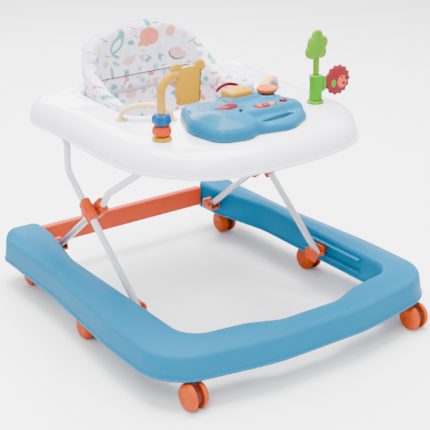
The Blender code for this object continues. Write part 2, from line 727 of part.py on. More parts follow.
def make_button(name, outline, top, edge, colour, origin):
    bm = bmesh.new()
    levels = ((BUTTON_FOOT_Z, 0.0), (top - edge, 0.0), (top - 0.3 * edge, 0.35 * edge), (top, 1.2 * edge))
    rings = level_rings(bm, outline, levels)
    bm.faces.new(reversed(rings[0]))
    bm.faces.new(rings[-1])
    add_object(name, bm, colour, origin=(*origin, BUTTON_FOOT_Z))


def make_panel():
    panel = add_object("panel_housing", dome(PANEL_OUTLINE, PANEL_LEVELS, 16), BLUE, roughness=0.3)
    thicken(panel, PANEL_WALL)
    slot_start, slot_end, slot_half = HANDLE_SLOT
    collar = prism(capsule(slot_start, slot_end, slot_half + PANEL_WALL), PANEL_BOTTOM_Z + 0.0005,
                   PANEL_TOP_Z - 0.001)
    unite(panel, collar)
    yellow_x, yellow_y, yellow_width, yellow_depth, yellow_top = YELLOW_BUTTON
    red_x, red_y, red_half_x, red_half_y, red_top = RED_BUTTON
    small_x, small_y, small_half_x, small_half_y, small_top = SMALL_BUTTON
    dial_x, dial_y, dial_radius = DIAL
    low, high = PANEL_TOP_Z - 0.012, PANEL_TOP_Z + 0.01
    window_x, window_y = 1.5 * ROLLER_PITCH + 0.0012, ROLLER_RADIUS + 0.0010
    windows = merge(
        prism(rectangle(yellow_x, yellow_y, yellow_width, yellow_depth, 0.006, GAP), low, high),
        prism(ellipse_outline(red_x, red_y, red_half_x + GAP, red_half_y + GAP), low, high),
        prism(ellipse_outline(small_x, small_y, small_half_x + GAP, small_half_y + GAP, 12), low, high),
        prism(ellipse_outline(dial_x, dial_y, 0.0075, 0.0075, 12), low, high),
        block((ROLLER_MIDDLE.x - window_x, ROLLER_MIDDLE.y - window_y, low),
              (ROLLER_MIDDLE.x + window_x, ROLLER_MIDDLE.y + window_y, high)))
    slot = prism(capsule(slot_start, slot_end, slot_half), PANEL_BOTTOM_Z - 0.01, high)
    cut(panel, windows, slot)

    floor_plate = add_object("panel_floor_plate", panel_floor(), WHITE, roughness=0.5)
    cut(floor_plate, prism(capsule(slot_start, slot_end, slot_half + PANEL_WALL + GAP), 0.40, 0.42))

    make_button("yellow_button", rectangle(yellow_x, yellow_y, yellow_width, yellow_depth, 0.006),
                yellow_top, 0.004, YELLOW, (yellow_x, yellow_y))
    make_button("red_button", ellipse_outline(red_x, red_y, red_half_x, red_half_y), red_top, 0.002,
                RED, (red_x, red_y))
    make_button("small_button", ellipse_outline(small_x, small_y, small_half_x, small_half_y, 12),
                small_top, 0.0015, RED, (small_x, small_y))
    make_dial(dial_x, dial_y, dial_radius)
    make_rollers()


def panel_floor():
    """The panel's thin floor, just inside its walls."""
    bm = bmesh.new()
    points = outline_points(PANEL_OUTLINE, 16)
    rings = level_rings(bm, points, ((PANEL_BOTTOM_Z, 0.0036), (PANEL_BOTTOM_Z + 0.002, 0.0036)))
    bm.faces.new(reversed(rings[0]))
    bm.faces.new(rings[1])
    return bm


def make_dial(x, y, radius):
    top = PANEL_TOP_Z
    profile = ((0.0070, top - 0.008), (0.0070, top + 0.0005), (radius - 0.004, top + 0.0008),
               (radius, top + 0.0060), (radius - 0.0020, top + 0.0095), (radius - 0.0080, top + 0.0120),
               (0.0, top + 0.0128))
    add_object("spinner_dial", turned(profile, 20, centre=(x, y, 0)), CORAL, origin=(x, y, top))


def make_rollers():
    middle = ROLLER_MIDDLE
    reach = Vector((1.5 * ROLLER_PITCH + 0.0034, 0, 0))
    shaft = rod(middle - reach, middle + reach, ROLLER_SHAFT_RADIUS, 8)
    shaft_object = add_object("roller_shaft", shaft, STEEL, metallic=1.0)
    for sign in (-1, 1):
        near, far = sorted((sign * (1.5 * ROLLER_PITCH + 0.0022), sign * (1.5 * ROLLER_PITCH + 0.0052)))
        post = block((middle.x + near, middle.y - 0.004, PANEL_BOTTOM_Z + 0.0025),
                     (middle.x + far, middle.y + 0.004, PANEL_TOP_Z - PANEL_WALL - GAP))
        unite_named(shaft_object, f"roller_post_{'low' if sign < 0 else 'high'}", post)
    for index, (name, colour) in enumerate((("orange", ORANGE), ("pink", PINK),
                                            ("yellow", YELLOW))):
        centre = middle + Vector(((index - 1) * ROLLER_PITCH, 0, 0))
        half = ROLLER_LENGTH / 2
        bead = turned(((ROLLER_RADIUS - 0.0016, -half), (ROLLER_RADIUS, -half + 0.0020),
                       (ROLLER_RADIUS, half - 0.0020), (ROLLER_RADIUS - 0.0016, half)), 14,
                      axis="X", centre=centre)
        made = add_object(f"roller_bead_{name}", bead, colour, origin=centre)
        cut(made, rod(centre - Vector((0.01, 0, 0)), centre + Vector((0.01, 0, 0)),
                      ROLLER_SHAFT_RADIUS + 0.0004, 8))


# ---------------------------------------------------------------- grips and tray toys
def grip_section(half_width, half_thickness):
    """The band of a grip as (across, outward) pairs: a bevelled outer side, a flat inner side."""
    inner_side = -0.6 * half_thickness
    return ((half_width, 0.5 * half_thickness), (0.8 * half_width, half_thickness),
            (-0.8 * half_width, half_thickness), (-half_width, 0.5 * half_thickness),
            (-half_width, inner_side), (half_width, inner_side))


def make_grips():
    """Two arched hand grips with flat feet."""
    half_width, half_thickness, foot, steps = 0.0080, 0.0030, 0.0006, 14
    up = Vector((0, 0, 1))
    for side, sign in SIDES:
        outer = Vector((sign * GRIP_OUTER_END.x, GRIP_OUTER_END.y, DECK_Z))
        inner = Vector((sign * GRIP_INNER_END.x, GRIP_INNER_END.y, DECK_Z))
        across = (inner - outer).cross(up).normalized()
        bm = bmesh.new()
        rings = []
        for step in range(steps + 1):
            angle = math.pi * step / steps
            lift = math.sin(angle) ** 0.7 if 0 < step < steps else 0.0
            centre = outer.lerp(inner, 0.5 - 0.5 * math.cos(angle))
            centre += up * (foot + lift * (GRIP_HEIGHT - half_thickness))
            if step == 0:
                heading = up
            elif step == steps:
                heading = -up
            else:
                slope = (inner - outer) * math.sin(angle) + up * (1.8 * GRIP_HEIGHT * math.cos(angle))
                heading = slope.normalized()
            outward = across.cross(heading)
            ring = [bm.verts.new(centre + across * a + outward * b)
                    for a, b in grip_section(half_width, half_thickness)]
            if rings:
                bridge(bm, rings[-1], ring)
            rings.append(ring)
        bm.faces.new(rings[0])
        bm.faces.new(reversed(rings[-1]))
        add_object(f"tray_grip_{side}", bm, CREAM, roughness=0.4)


def make_arm_toy():
    """A curved yellow arm on a round base, with two beads on it and a plate at its end."""
    x, y, z = ARM_TOY
    stem_radius = 0.0055
    base = turned(((0.0165, z + 0.0004), (0.0175, z + 0.0030), (0.0165, z + 0.0060),
                   (0.0090, z + 0.0072), (0.0, z + 0.0072)), 20, centre=(x, y, 0))
    stand = add_object("arm_toy_stand", base, YELLOW, origin=ARM_TOY)
    path = bent_path([(Vector((x, y, z + 0.004)), 0.0), (Vector((x - 0.001, y, 0.5120)), 0.030),
                      (Vector((-0.1420, y, 0.5170)), 0.0)], steps=7)
    arm = bmesh.new()
    rings = swept_rings(arm, path, circle(stem_radius, 10))
    arm.faces.new(rings[0])
    arm.faces.new(reversed(rings[-1]))
    bmesh.ops.recalc_face_normals(arm, faces=arm.faces)
    unite(stand, arm)
    hole = stem_radius + 0.0009
    radius = 0.0170
    for name, colour, low, high in (("orange", ORANGE, z + 0.0076, z + 0.0262),
                                    ("blue", DEEP_BLUE, z + 0.0266, z + 0.0470)):
        middle = (low + high) / 2
        bead = turned(((radius - 0.0050, low), (radius, middle - 0.0030), (radius, middle + 0.0030),
                       (radius - 0.0050, high)), 18, centre=(x, y, 0))
        made = add_object(f"stacking_bead_{name}", bead, colour, origin=(x, y, middle))
        cut(made, rod((x, y, low - 0.01), (x, y, high + 0.01), hole, 10))
    make_plate()


def make_plate():
    """A flat plate with wavy sides and two round ears, standing in the XZ plane."""
    cx, cy, cz = PLATE_CENTRE
    half_width, half_height, thickness = 0.0260, 0.0330, 0.0080
    points = []
    waves, steps = 4, 16
    for sign in (1, -1):
        for step in range(steps + 1):
            share = step / steps
            climb = share if sign > 0 else 1 - share
            ripple = 0.0016 * math.cos(math.tau * waves * climb)
            taper = 1.0 - 0.10 * (1 - climb)
            points.append(Vector((sign * (half_width * taper + ripple),
                                  -half_height + 2 * half_height * climb)))
    bm = prism(points, -thickness / 2, thickness / 2)
    upright = Matrix(((1, 0, 0, cx), (0, 0, -1, cy), (0, 1, 0, cz), (0, 0, 0, 1)))
    bmesh.ops.transform(bm, matrix=upright, verts=bm.verts)
    pivot = (-0.1420, cy, 0.5170)
    plate = add_object("swing_plate", bm, YELLOW, origin=pivot)
    ears = [turned(((0.0105, -thickness / 2 + 0.0007), (0.0105, thickness / 2 - 0.0007)), 16, axis="Y",
                   centre=(cx + sign * 0.0235, cy, cz + 0.0310)) for sign in (-1, 1)]
    unite(plate, *ears)
    cut(plate, rod((-0.160, cy, 0.5170), (-0.1370, cy, 0.5170), 0.0064, 12))


def make_post_toy():
    """A green post with a tree on top, and a sleeve that carries a round plate."""
    x, y, z = POST_TOY
    stem = 0.0060
    post_profile = ((0.0160, z + 0.0004), (0.0160, z + 0.0040), (0.0130, z + 0.0052),
                    (stem, z + 0.0054), (stem, 0.4900))
    post = add_object("tree_post", turned(post_profile, 16, centre=(x, y, 0)), GREEN, origin=POST_TOY)
    lobes = ((0.000, 0.512, 0.0200), (-0.011, 0.503, 0.0135), (0.012, 0.518, 0.0125),
             (0.001, 0.531, 0.0120), (0.011, 0.500, 0.0115))
    for index, (dx, lobe_z, radius) in enumerate(lobes):
        depth = 0.0050 - 0.0003 * index
        leaf = turned(((radius, -depth), (radius, depth)), 14, axis="Y", centre=(x + dx, y, lobe_z))
        unite_named(post, f"tree_leaf_{index}", leaf)
    sleeve_low, sleeve_high, sleeve_radius = z + 0.0058, z + 0.0530, 0.0125
    sleeve_profile = ((sleeve_radius, sleeve_low), (sleeve_radius, sleeve_high - 0.002),
                      (sleeve_radius - 0.002, sleeve_high))
    sleeve = add_object("spinning_sleeve", turned(sleeve_profile, 18, centre=(x, y, 0)), GREEN,
                        origin=POST_TOY)
    unite(sleeve, block((x + 0.008, y - 0.0030, z + 0.0160), (x + 0.0215, y + 0.0030, z + 0.0500)))
    cut(sleeve, rod((x, y, z), (x, y, sleeve_high + 0.01), stem + 0.0006, 14))
    spikes = 14
    points = []
    for step in range(2 * spikes):
        reach = 0.0300 if step % 2 == 0 else 0.0262
        angle = math.pi * step / spikes
        points.append(Vector((reach * math.cos(angle), reach * math.sin(angle))))
    disc = prism(points, -0.0035, 0.0035)
    centre_x, centre_z = x + 0.0520, z + 0.0350
    upright = Matrix(((1, 0, 0, centre_x), (0, 0, -1, y), (0, 1, 0, centre_z), (0, 0, 0, 1)))
    bmesh.ops.transform(disc, matrix=upright, verts=disc.verts)
    add_object("hedgehog_disc", disc, CORAL_RED, origin=(centre_x, y, centre_z))


def build():
    clear_scene()
    make_base()
    make_crossbar()
    for name, x, y in caster_axes():
        make_caster(name, x, y)
    make_tubes()
    make_pivots()
    make_feet()
    make_tray()
    make_tray_fittings()
    make_seat()
    make_panel()
    make_grips()
    make_arm_toy()
    make_post_toy()


build()
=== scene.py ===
"""Looks of the baby walker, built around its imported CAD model. Metres, +Z up, front towards -Y."""
import math
import random

import bmesh
import bpy
from mathutils import Matrix, Vector, bvhtree, geometry, kdtree, noise


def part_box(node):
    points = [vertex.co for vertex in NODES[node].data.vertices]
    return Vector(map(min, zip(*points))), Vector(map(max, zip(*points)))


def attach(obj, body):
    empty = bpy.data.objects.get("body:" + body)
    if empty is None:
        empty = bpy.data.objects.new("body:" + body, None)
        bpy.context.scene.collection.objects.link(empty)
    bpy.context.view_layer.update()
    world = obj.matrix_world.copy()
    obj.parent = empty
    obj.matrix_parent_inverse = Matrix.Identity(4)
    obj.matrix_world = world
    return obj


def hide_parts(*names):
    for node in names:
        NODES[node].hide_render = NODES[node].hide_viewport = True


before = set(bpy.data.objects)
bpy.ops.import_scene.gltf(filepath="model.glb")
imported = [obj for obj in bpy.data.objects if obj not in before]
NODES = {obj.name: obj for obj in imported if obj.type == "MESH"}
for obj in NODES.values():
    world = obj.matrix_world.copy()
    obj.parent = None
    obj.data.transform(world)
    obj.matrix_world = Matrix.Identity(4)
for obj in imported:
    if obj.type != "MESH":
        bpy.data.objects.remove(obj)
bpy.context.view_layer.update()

SIDES = (("left", -1.0), ("right", 1.0))

# ---------------------------------------------------------------- dimensions, as in the CAD part
# outlines seen from above, (x, y, corner radius); base, tray and opening give their right halves
BASE_OUTER = ((0.100, -0.346, 0.40), (0.310, -0.306, 0.11), (0.310, -0.120, 0.60),
              (0.290, 0.120, 0.60), (0.288, 0.346, 0.045))
BASE_INNER = ((0.196, 0.342, 0.020), (0.199, 0.270, 0.10), (0.227, 0.130, 0.20),
              (0.227, -0.258, 0.045), (0.120, -0.274, 0.08), (0.062, -0.299, 0.05))
CASTER_PLACES = (("front", 0.250, -0.294), ("middle", 0.2625, 0.033), ("rear", 0.236, 0.300))
CASTER_TRAIL = 0.014
WHEEL_RADIUS = 0.025

TUBE_RADIUS = 0.0065
TUBE_WALL = 0.0012
INNER_TUBE_X = 0.187
OUTER_TUBE_X = 0.209
PIVOT = Vector((0.0, 0.098, 0.215))
REAR_FOOT = PIVOT + Vector((0.0, 0.162, -0.130))
FRONT_FOOT = PIVOT + Vector((0.0, -0.162, -0.130))
TRAY_HINGE = PIVOT + Vector((0.0, 0.170, 0.150))
TRAY_SLIDE = PIVOT + Vector((0.0, -0.170, 0.150))
ARM_ANGLE = math.atan2(0.130, 0.162)

DECK_Z = 0.405
SHELL_WALL = 0.003            # thickness of the base and the tray
TRAY_OUTLINE = ((0.050, -0.257, 0.60), (0.165, -0.235, 0.14), (0.249, -0.130, 0.16),
                (0.254, 0.010, 0.60), (0.248, 0.100, 0.80), (0.258, 0.250, 0.085), (0.175, 0.290, 0.20))
OPENING = ((0.060, 0.020, 0.20), (0.145, 0.030, 0.070), (0.147, 0.150, 0.50), (0.142, 0.241, 0.085))

PANEL_OUTLINE = ((-0.052, -0.202, 0.060), (-0.026, -0.188, 0.020), (0.040, -0.202, 0.050),
                 (0.100, -0.165, 0.035), (0.121, -0.120, 0.030), (0.108, -0.088, 0.018),
                 (0.110, -0.042, 0.022), (0.066, -0.032, 0.015), (0.050, -0.012, 0.015),
                 (0.002, -0.012, 0.020), (-0.012, -0.036, 0.015), (-0.075, -0.010, 0.045),
                 (-0.122, -0.110, 0.075), (-0.110, -0.190, 0.060))
PANEL_TOP_Z = 0.432
PANEL_WALL = 0.0016
YELLOW_BUTTON = (0.026, -0.052, 0.050, 0.040, 0.449)        # x, y, width, depth, top
RED_BUTTON = (-0.034, -0.104, 0.0225, 0.0110, 0.4385)       # x, y, half width, half depth, top
SMALL_BUTTON = (0.078, -0.122, 0.0065, 0.4350)              # x, y, radius, top
ROLLER_MIDDLE = Vector((0.036, -0.125, 0.4275))
ROLLER_RADIUS = 0.0085
ROLLER_PITCH = 0.0132
DIAL = (0.083, -0.067, 0.0200)                              # x, y, radius
HANDLE_SLOT = ((0.004, -0.170), (0.064, -0.160), 0.0075)    # start, end, half width

ARM_TOY = Vector((-0.173, -0.109, DECK_Z))
POST_TOY = Vector((0.173, -0.098, DECK_Z))
PLATE_CENTRE = Vector((-0.118, -0.109, 0.492))

# ---------------------------------------------------------------- colours, linear RGB
BLUE = (0.000, 0.112, 0.225)
ORANGE = (0.480, 0.038, 0.002)
WHEEL_ORANGE = (0.380, 0.045, 0.004)
DARK_RED = (0.085, 0.004, 0.003)
WHITE = (0.78, 0.77, 0.85)
TUBE_WHITE = (0.58, 0.59, 0.68)
YELLOW = (0.440, 0.208, 0.000)
GREEN = (0.085, 0.250, 0.000)
LEAF_GREEN = (0.040, 0.250, 0.003)
RED = (0.170, 0.000, 0.010)
KEY_RED = (0.150, 0.006, 0.010)
HEDGEHOG_RED = (0.190, 0.014, 0.020)
CREAM = (0.66, 0.42, 0.16)
CORAL = (0.56, 0.085, 0.020)
DEEP_BLUE = (0.000, 0.060, 0.190)
PINK = (0.210, 0.001, 0.065)
BLACK = (0.015, 0.015, 0.018)
# painted shade: the grey given to the grips' inner faces
GRIP_SHADE_GREY = (0.36, 0.37, 0.42)
LINING_GREY = (0.55, 0.55, 0.60)
THREAD_DARK = (0.035, 0.012, 0.022)
FABRIC_WHITE = (0.70, 0.66, 0.75)
STEEL = (0.60, 0.60, 0.62)


# ---------------------------------------------------------------- outlines and paths
def smooth_step(low, high, value):
    """0 below `low`, 1 above `high`, and a smooth rise between."""
    share = min(1.0, max(0.0, (value - low) / (high - low)))
    return share * share * (3 - 2 * share)


def corner_arc(before, here, after, radius, room=math.inf):
    """Start, end, centre and turn of the arc that rounds a corner, kept within the room beside it."""
    to_before, to_after = (before - here).normalized(), (after - here).normalized()
    turn = math.pi - to_before.angle(to_after)
    reach = radius * math.tan(turn / 2)
    if reach > room:
        radius *= room / reach
        reach = room
    centre = here + (to_before + to_after).normalized() * (radius / math.cos(turn / 2))
    return here + to_before * reach, here + to_after * reach, centre, turn


def rounded_outline(corners, steps_per_turn):
    """Round each corner (x, y, radius) of a closed polygon.

    Returns (point, corner index, fraction along that corner's arc) for each point.
    """
    result = []
    count = len(corners)
    for index, (x, y, radius) in enumerate(corners):
        here = Vector((x, y))
        before, after = Vector(corners[index - 1][:2]), Vector(corners[(index + 1) % count][:2])
        room = 0.42 * min((before - here).length, (after - here).length)
        start, end, centre, turn = corner_arc(before, here, after, radius, room)
        steps = max(3, round(steps_per_turn * turn / math.tau))
        arm = start - centre
        swing = arm.angle_signed(end - centre)
        for step in range(steps + 1):
            spun = arm.copy()
            spun.rotate(Matrix.Rotation(-swing * step / steps, 2))
            result.append((centre + spun, index, step / steps))
    return result


def outline_points(corners, steps_per_turn=48):
    """The points alone of a rounded outline."""
    return [point for point, _, _ in rounded_outline(corners, steps_per_turn)]


def mirrored(half):
    """A whole outline from its right half."""
    return tuple(half) + tuple((-x, y, radius) for x, y, radius in reversed(half))


def with_straights(outline, spacing):
    """Add points to the straight stretches of an outline of (point, corner, fraction)."""
    result = []
    for (point, corner, fraction), (following, _, _) in zip(outline, outline[1:] + outline[:1]):
        count = max(1, math.ceil((following - point).length / spacing))
        for index in range(count):
            result.append((point.lerp(following, index / count), corner, 1.0 if index else fraction))
    return result


def along_path(points, shares):
    """The places at given rising shares, 0 to 1, of an open path's length."""
    lengths = [0.0]
    for before, here in zip(points, points[1:]):
        lengths.append(lengths[-1] + (here - before).length)
    result = []
    at = 0
    for share in shares:
        target = min(lengths[-1] * share, lengths[-1] - 1e-9)
        while lengths[at + 1] < target:
            at += 1
        part = (target - lengths[at]) / max(1e-9, lengths[at + 1] - lengths[at])
        result.append(points[at].lerp(points[at + 1], part))
    return result


def resampled(points, spacing):
    """The same closed path with evenly spaced points."""
    closed = points + points[:1]
    length = sum((here - before).length for before, here in zip(closed, closed[1:]))
    count = max(8, round(length / spacing))
    return along_path(closed, [index / count for index in range(count)])


def inward_normals(points):
    """Miter directions to the left of a closed path that runs anticlockwise."""
    normals = []
    count = len(points)
    for index, point in enumerate(points):
        into = (point - points[index - 1]).normalized()
        out = (points[(index + 1) % count] - point).normalized()
        bisector = Vector((-into.y - out.y, into.x + out.x)).normalized()
        normals.append(bisector / max(0.5, bisector.dot(Vector((-into.y, into.x)))))
    return normals


def inside(spot, path):
    """Whether a point lies inside a closed path."""
    within = False
    previous = path[-1]
    for point in path:
        if (point.y > spot.y) != (previous.y > spot.y):
            if spot.x < (previous.x - point.x) * (spot.y - point.y) / (previous.y - point.y) + point.x:
                within = not within
        previous = point
    return within


def oval(x, y, half_x, half_y, sides=44, power=1.0):
    """Points of a closed oval; a power below 1 squares it off."""
    points = []
    for step in range(sides):
        angle = math.tau * step / sides
        a, b = math.cos(angle), math.sin(angle)
        points.append(Vector((x + half_x * math.copysign(abs(a) ** power, a),
                              y + half_y * math.copysign(abs(b) ** power, b))))
    return points


def circle(radius, sides, x=0.0, y=0.0):
    return oval(x, y, radius, radius, sides)


def rectangle(x, y, width, depth, radius, steps=40):
    """A rectangle with rounded corners."""
    return outline_points([(x + a * width / 2, y + b * depth / 2, radius)
                           for a, b in ((-1, -1), (1, -1), (1, 1), (-1, 1))], steps)


def arc(x, y, radius, first, last, steps):
    """Points along an arc between two angles in degrees."""
    angles = [math.radians(first + (last - first) * step / steps) for step in range(steps + 1)]
    return [Vector((x + radius * math.cos(angle), y + radius * math.sin(angle))) for angle in angles]


def capsule(start, end, half_width, steps=14):
    """A slot's outline: two straight sides and two round ends."""
    heading = math.degrees(math.atan2(end[1] - start[1], end[0] - start[0]))
    return (arc(*end, half_width, heading - 90, heading + 90, steps)
            + arc(*start, half_width, heading + 90, heading + 270, steps))


def bent_path(corners, steps=12):
    """Round the inner corners (point, bend radius) of an open path in space."""
    points = [corners[0][0].copy()]
    for (before, _), (here, radius), (after, _) in zip(corners, corners[1:], corners[2:]):
        start, end, centre, _ = corner_arc(before, here, after, radius)
        start_arm, end_arm = (start - centre).normalized(), (end - centre).normalized()
        for step in range(steps + 1):
            points.append(centre + start_arm.slerp(end_arm, step / steps) * radius)
    points.append(corners[-1][0].copy())
    return points


def rod(radius, low, high):
    """Profile of a plain cylinder."""
    return (0.0, low), (radius, low), (radius, high), (0.0, high)


def rounded_profile(outline, radius=0.001, steps=4):
    """Round the corners of an open (radius, height) profile by a small arc."""
    points = [Vector(p) for p in outline]
    result = [points[0]]
    for before, here, after in zip(points, points[1:], points[2:]):
        reach = min(radius, 0.45 * (before - here).length, 0.45 * (after - here).length)
        start = here + (before - here).normalized() * reach
        end = here + (after - here).normalized() * reach
        for step in range(steps + 1):
            t = step / steps
            result.append(start.lerp(here, t).lerp(here.lerp(end, t), t))
    result.append(points[-1])
    return [(p.x, p.y) for p in result]


def curve_levels(knots, steps):
    """Smooth levels through (z, scale) knots, as a Catmull-Rom curve."""
    result = []
    padded = [knots[0], *knots, knots[-1]]
    for index in range(1, len(padded) - 2):
        a, b, c, d = padded[index - 1:index + 3]
        for step in range(steps):
            t = step / steps
            result.append(tuple(
                0.5 * (2 * b[k] + (c[k] - a[k]) * t + (2 * a[k] - 5 * b[k] + 4 * c[k] - d[k]) * t * t
                       + (3 * b[k] - a[k] - 3 * c[k] + d[k]) * t ** 3) for k in (0, 1)))
    result.append(tuple(knots[-1]))
    return result


# ---------------------------------------------------------------- meshes
def bridge(bm, low, high):
    """Join two closed rings of vertices by quads."""
    for index in range(len(low)):
        following = (index + 1) % len(low)
        bm.faces.new((low[index], low[following], high[following], high[index]))


def loft(bm, rows, flipped=False):
    """A ring of vertices for each row of places, each joined to the one before."""
    rings = []
    for row in rows:
        ring = [bm.verts.new(spot) for spot in row]
        if rings and flipped:
            bridge(bm, ring, rings[-1])
        elif rings:
            bridge(bm, rings[-1], ring)
        rings.append(ring)
    return rings


def close_ends(bm, rings):
    bm.faces.new(rings[0])
    bm.faces.new(reversed(rings[-1]))


def moved(bm, matrix):
    bmesh.ops.transform(bm, matrix=matrix, verts=bm.verts)
    return bm


def merge(target, *others):
    """Add other bmeshes into the first."""
    for other in others:
        held = bpy.data.meshes.new("held")
        other.to_mesh(held)
        other.free()
        target.from_mesh(held)
        bpy.data.meshes.remove(held)
    return target


def ring_stack(bm, points, levels, narrowing=None):
    """Walls on a plan outline: one ring for each (z, inset) level."""
    normals = inward_normals(points)
    if narrowing is not None:
        normals = [normal * narrowing(point) for point, normal in zip(points, normals)]
    return loft(bm, ([(*(point + normal * inset), z) for point, normal in zip(points, normals)]
                     for z, inset in levels))


def ring_tree(*rings):
    """Finds how far a plan point lies from the nearest of the given rings of vertices."""
    spots = [vertex.co.copy() for ring in rings for vertex in ring]
    tree = kdtree.KDTree(len(spots))
    for index, spot in enumerate(spots):
        tree.insert((spot.x, spot.y, 0.0), index)
    tree.balance()
    return tree


def distance_to(tree, x, y):
    return tree.find((x, y, 0.0))[2]


def fill_surface(bm, outer, holes, spacing, height):
    """Fill a level area between rings of vertices with a fine mesh.

    `height` gives each vertex's z from its x and y; the holes stay open.
    """
    ring_vertices = [vertex for ring in (outer, *holes) for vertex in ring]
    flat = [vertex.co.xy.copy() for vertex in ring_vertices]
    edges = []
    for ring in (outer, *holes):
        start = len(edges)
        edges += [(start + i, start + (i + 1) % len(ring)) for i in range(len(ring))]
    border, *gaps = [[vertex.co.xy for vertex in ring] for ring in (outer, *holes)]
    near = ring_tree(outer, *holes)

    def is_open(spot):
        return inside(spot, border) and not any(inside(spot, gap) for gap in gaps)
    low_x, high_x = min(p.x for p in border), max(p.x for p in border)
    y, high_y = min(p.y for p in border) + spacing / 2, max(p.y for p in border)
    odd_row = False
    while y < high_y:
        x = low_x + spacing * (0.5 if odd_row else 1.0)
        while x < high_x:
            spot = Vector((x, y))
            if is_open(spot) and distance_to(near, x, y) > 0.6 * spacing:
                flat.append(spot)
            x += spacing
        y += spacing * 0.866
        odd_row = not odd_row
    coords, _, faces, origins, _, _ = geometry.delaunay_2d_cdt(flat, edges, [], 0, 1e-7)
    vertices = []
    for coord, origin in zip(coords, origins):
        known = [k for k in origin if k < len(ring_vertices)]
        vertices.append(ring_vertices[known[0]] if known else bm.verts.new((*coord, 0.0)))
    for face in faces:
        middle = sum((coords[i] for i in face), Vector((0, 0))) / len(face)
        corners = [vertices[i] for i in face]
        if is_open(middle) and len(set(corners)) == len(corners) and bm.faces.get(corners) is None:
            bm.faces.new(corners)
    for vertex in set(vertices):
        vertex.co.z = height(vertex.co.x, vertex.co.y)


def turned(profile, segments=48, axis="Z", centre=(0, 0, 0), lobes=0, depth=0.0):
    """A closed solid of revolution from (radius, height) pairs, with optional lobes round it."""
    bm = bmesh.new()
    rings = []
    for radius, height in profile:
        if radius == 0.0:
            rings.append([bm.verts.new((0, 0, height))])
            continue
        ring = []
        for step in range(segments):
            angle = math.tau * step / segments
            reach = radius * (1 + depth * (math.cos(lobes * angle) - 1))
            ring.append(bm.verts.new((reach * math.cos(angle), reach * math.sin(angle), height)))
        rings.append(ring)
    for low, high in zip(rings, rings[1:]):
        if len(low) == 1:
            for step in range(segments):
                bm.faces.new((low[0], high[(step + 1) % segments], high[step]))
        elif len(high) == 1:
            for step in range(segments):
                bm.faces.new((low[step], low[(step + 1) % segments], high[0]))
        else:
            bridge(bm, low, high)
    turn = Matrix.Rotation(math.pi / 2, 4, "Y") if axis == "X" else Matrix.Identity(4)
    return moved(bm, Matrix.Translation(centre) @ turn)


def sweep(path, section, cap=True, roll=None):
    """Sweep a closed section of (side, up) pairs along a path."""
    rows = []
    side = roll or (path[1] - path[0]).orthogonal().normalized()
    for index, point in enumerate(path):
        ahead = path[min(index + 1, len(path) - 1)] - point
        behind = point - path[max(index - 1, 0)]
        heading = (ahead.normalized() + behind.normalized()).normalized()
        side = (side - heading * side.dot(heading)).normalized()
        up = heading.cross(side)
        rows.append([point + side * a + up * b for a, b in section])
    bm = bmesh.new()
    rings = loft(bm, rows)
    if cap:
        close_ends(bm, rings)
    return bm


def block(low, high):
    """A box between two corners."""
    bm = bmesh.new()
    bmesh.ops.create_cube(bm, size=1.0)
    low, high = Vector(low), Vector(high)
    bmesh.ops.scale(bm, vec=high - low, verts=bm.verts)
    return moved(bm, Matrix.Translation((low + high) / 2))


def pillow(points, low, high, edge, steps=5):
    """A closed solid on a plan outline with rounded upper and lower edges."""
    bm = bmesh.new()
    corner = []
    for step in reversed(range(steps + 1)):
        angle = math.pi / 2 * step / steps
        corner.append((edge * (1 - math.sin(angle)), edge * (1 - math.cos(angle))))
    levels = [(low + rise, inset) for rise, inset in corner]
    levels += [(high - rise, inset) for rise, inset in reversed(corner)]
    rings = ring_stack(bm, points, levels)
    bm.faces.new(reversed(rings[0]))
    bm.faces.new(rings[-1])
    return bm


def topped(outline, levels, spacing, height):
    """A closed button: walls on an outline, a flat foot and a top whose height follows a rule."""
    bm = bmesh.new()
    rings = ring_stack(bm, outline, levels)
    bm.faces.new(reversed(rings[0]))
    fill_surface(bm, rings[-1], [], spacing, height)
    return bm


def side_plate(outline, inside_x, outside_x, sign, edge, steps=4):
    """A plate that stands in the YZ plane, from one x to another, on the side of the given sign."""
    upright = Matrix(((0, 0, 1, 0), (1, 0, 0, 0), (0, 1, 0, 0), (0, 0, 0, 1)))
    plate = pillow(outline, inside_x, outside_x, edge, steps)
    return moved(plate, Matrix.Scale(sign, 4, (1, 0, 0)) @ upright)


def facing_plate(outline, centre, half_depth, edge, steps=5):
    """A plate that stands in the XZ plane; its outline is given from a centre in space."""
    x, y, z = centre
    upright = Matrix(((1, 0, 0, x), (0, 0, -1, y), (0, 1, 0, z), (0, 0, 0, 1)))
    return moved(pillow(outline, -half_depth, half_depth, edge, steps), upright)


def side_box(sign, low, high):
    """A block between two corners, mirrored to the side of the given sign."""
    ends = sorted((sign * low[0], sign * high[0]))
    return block((ends[0], *low[1:]), (ends[1], *high[1:]))


def side_turned(profile, sign, centre, segments=32):
    """A solid of revolution along X whose profile runs outwards on the side of the given sign."""
    bm = turned(profile, segments, "X")
    bmesh.ops.scale(bm, vec=(sign, 1, 1), verts=bm.verts)
    return moved(bm, Matrix.Translation(centre))


# ---------------------------------------------------------------- objects
def finish_mesh(name, bm, materials, sharp_angle=38.0, recalc=True):
    """Turn a bmesh in the walker's frame into a smooth-shaded object."""
    if recalc:
        bmesh.ops.recalc_face_normals(bm, faces=bm.faces)
    mesh = bpy.data.meshes.new(name)
    bm.to_mesh(mesh)
    bm.free()
    mesh.shade_smooth()
    mesh.set_sharp_from_angle(angle=math.radians(sharp_angle))
    made = bpy.data.objects.new(name, mesh)
    bpy.context.scene.collection.objects.link(made)
    for material in materials if isinstance(materials, (list, tuple)) else (materials,):
        mesh.materials.append(material)
    return made


def place(obj, body, slot, *nodes):
    """Ride on a body and stand for CAD nodes. The slot is not used."""
    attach(obj, body)
    if nodes:
        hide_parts(*nodes)
    return obj


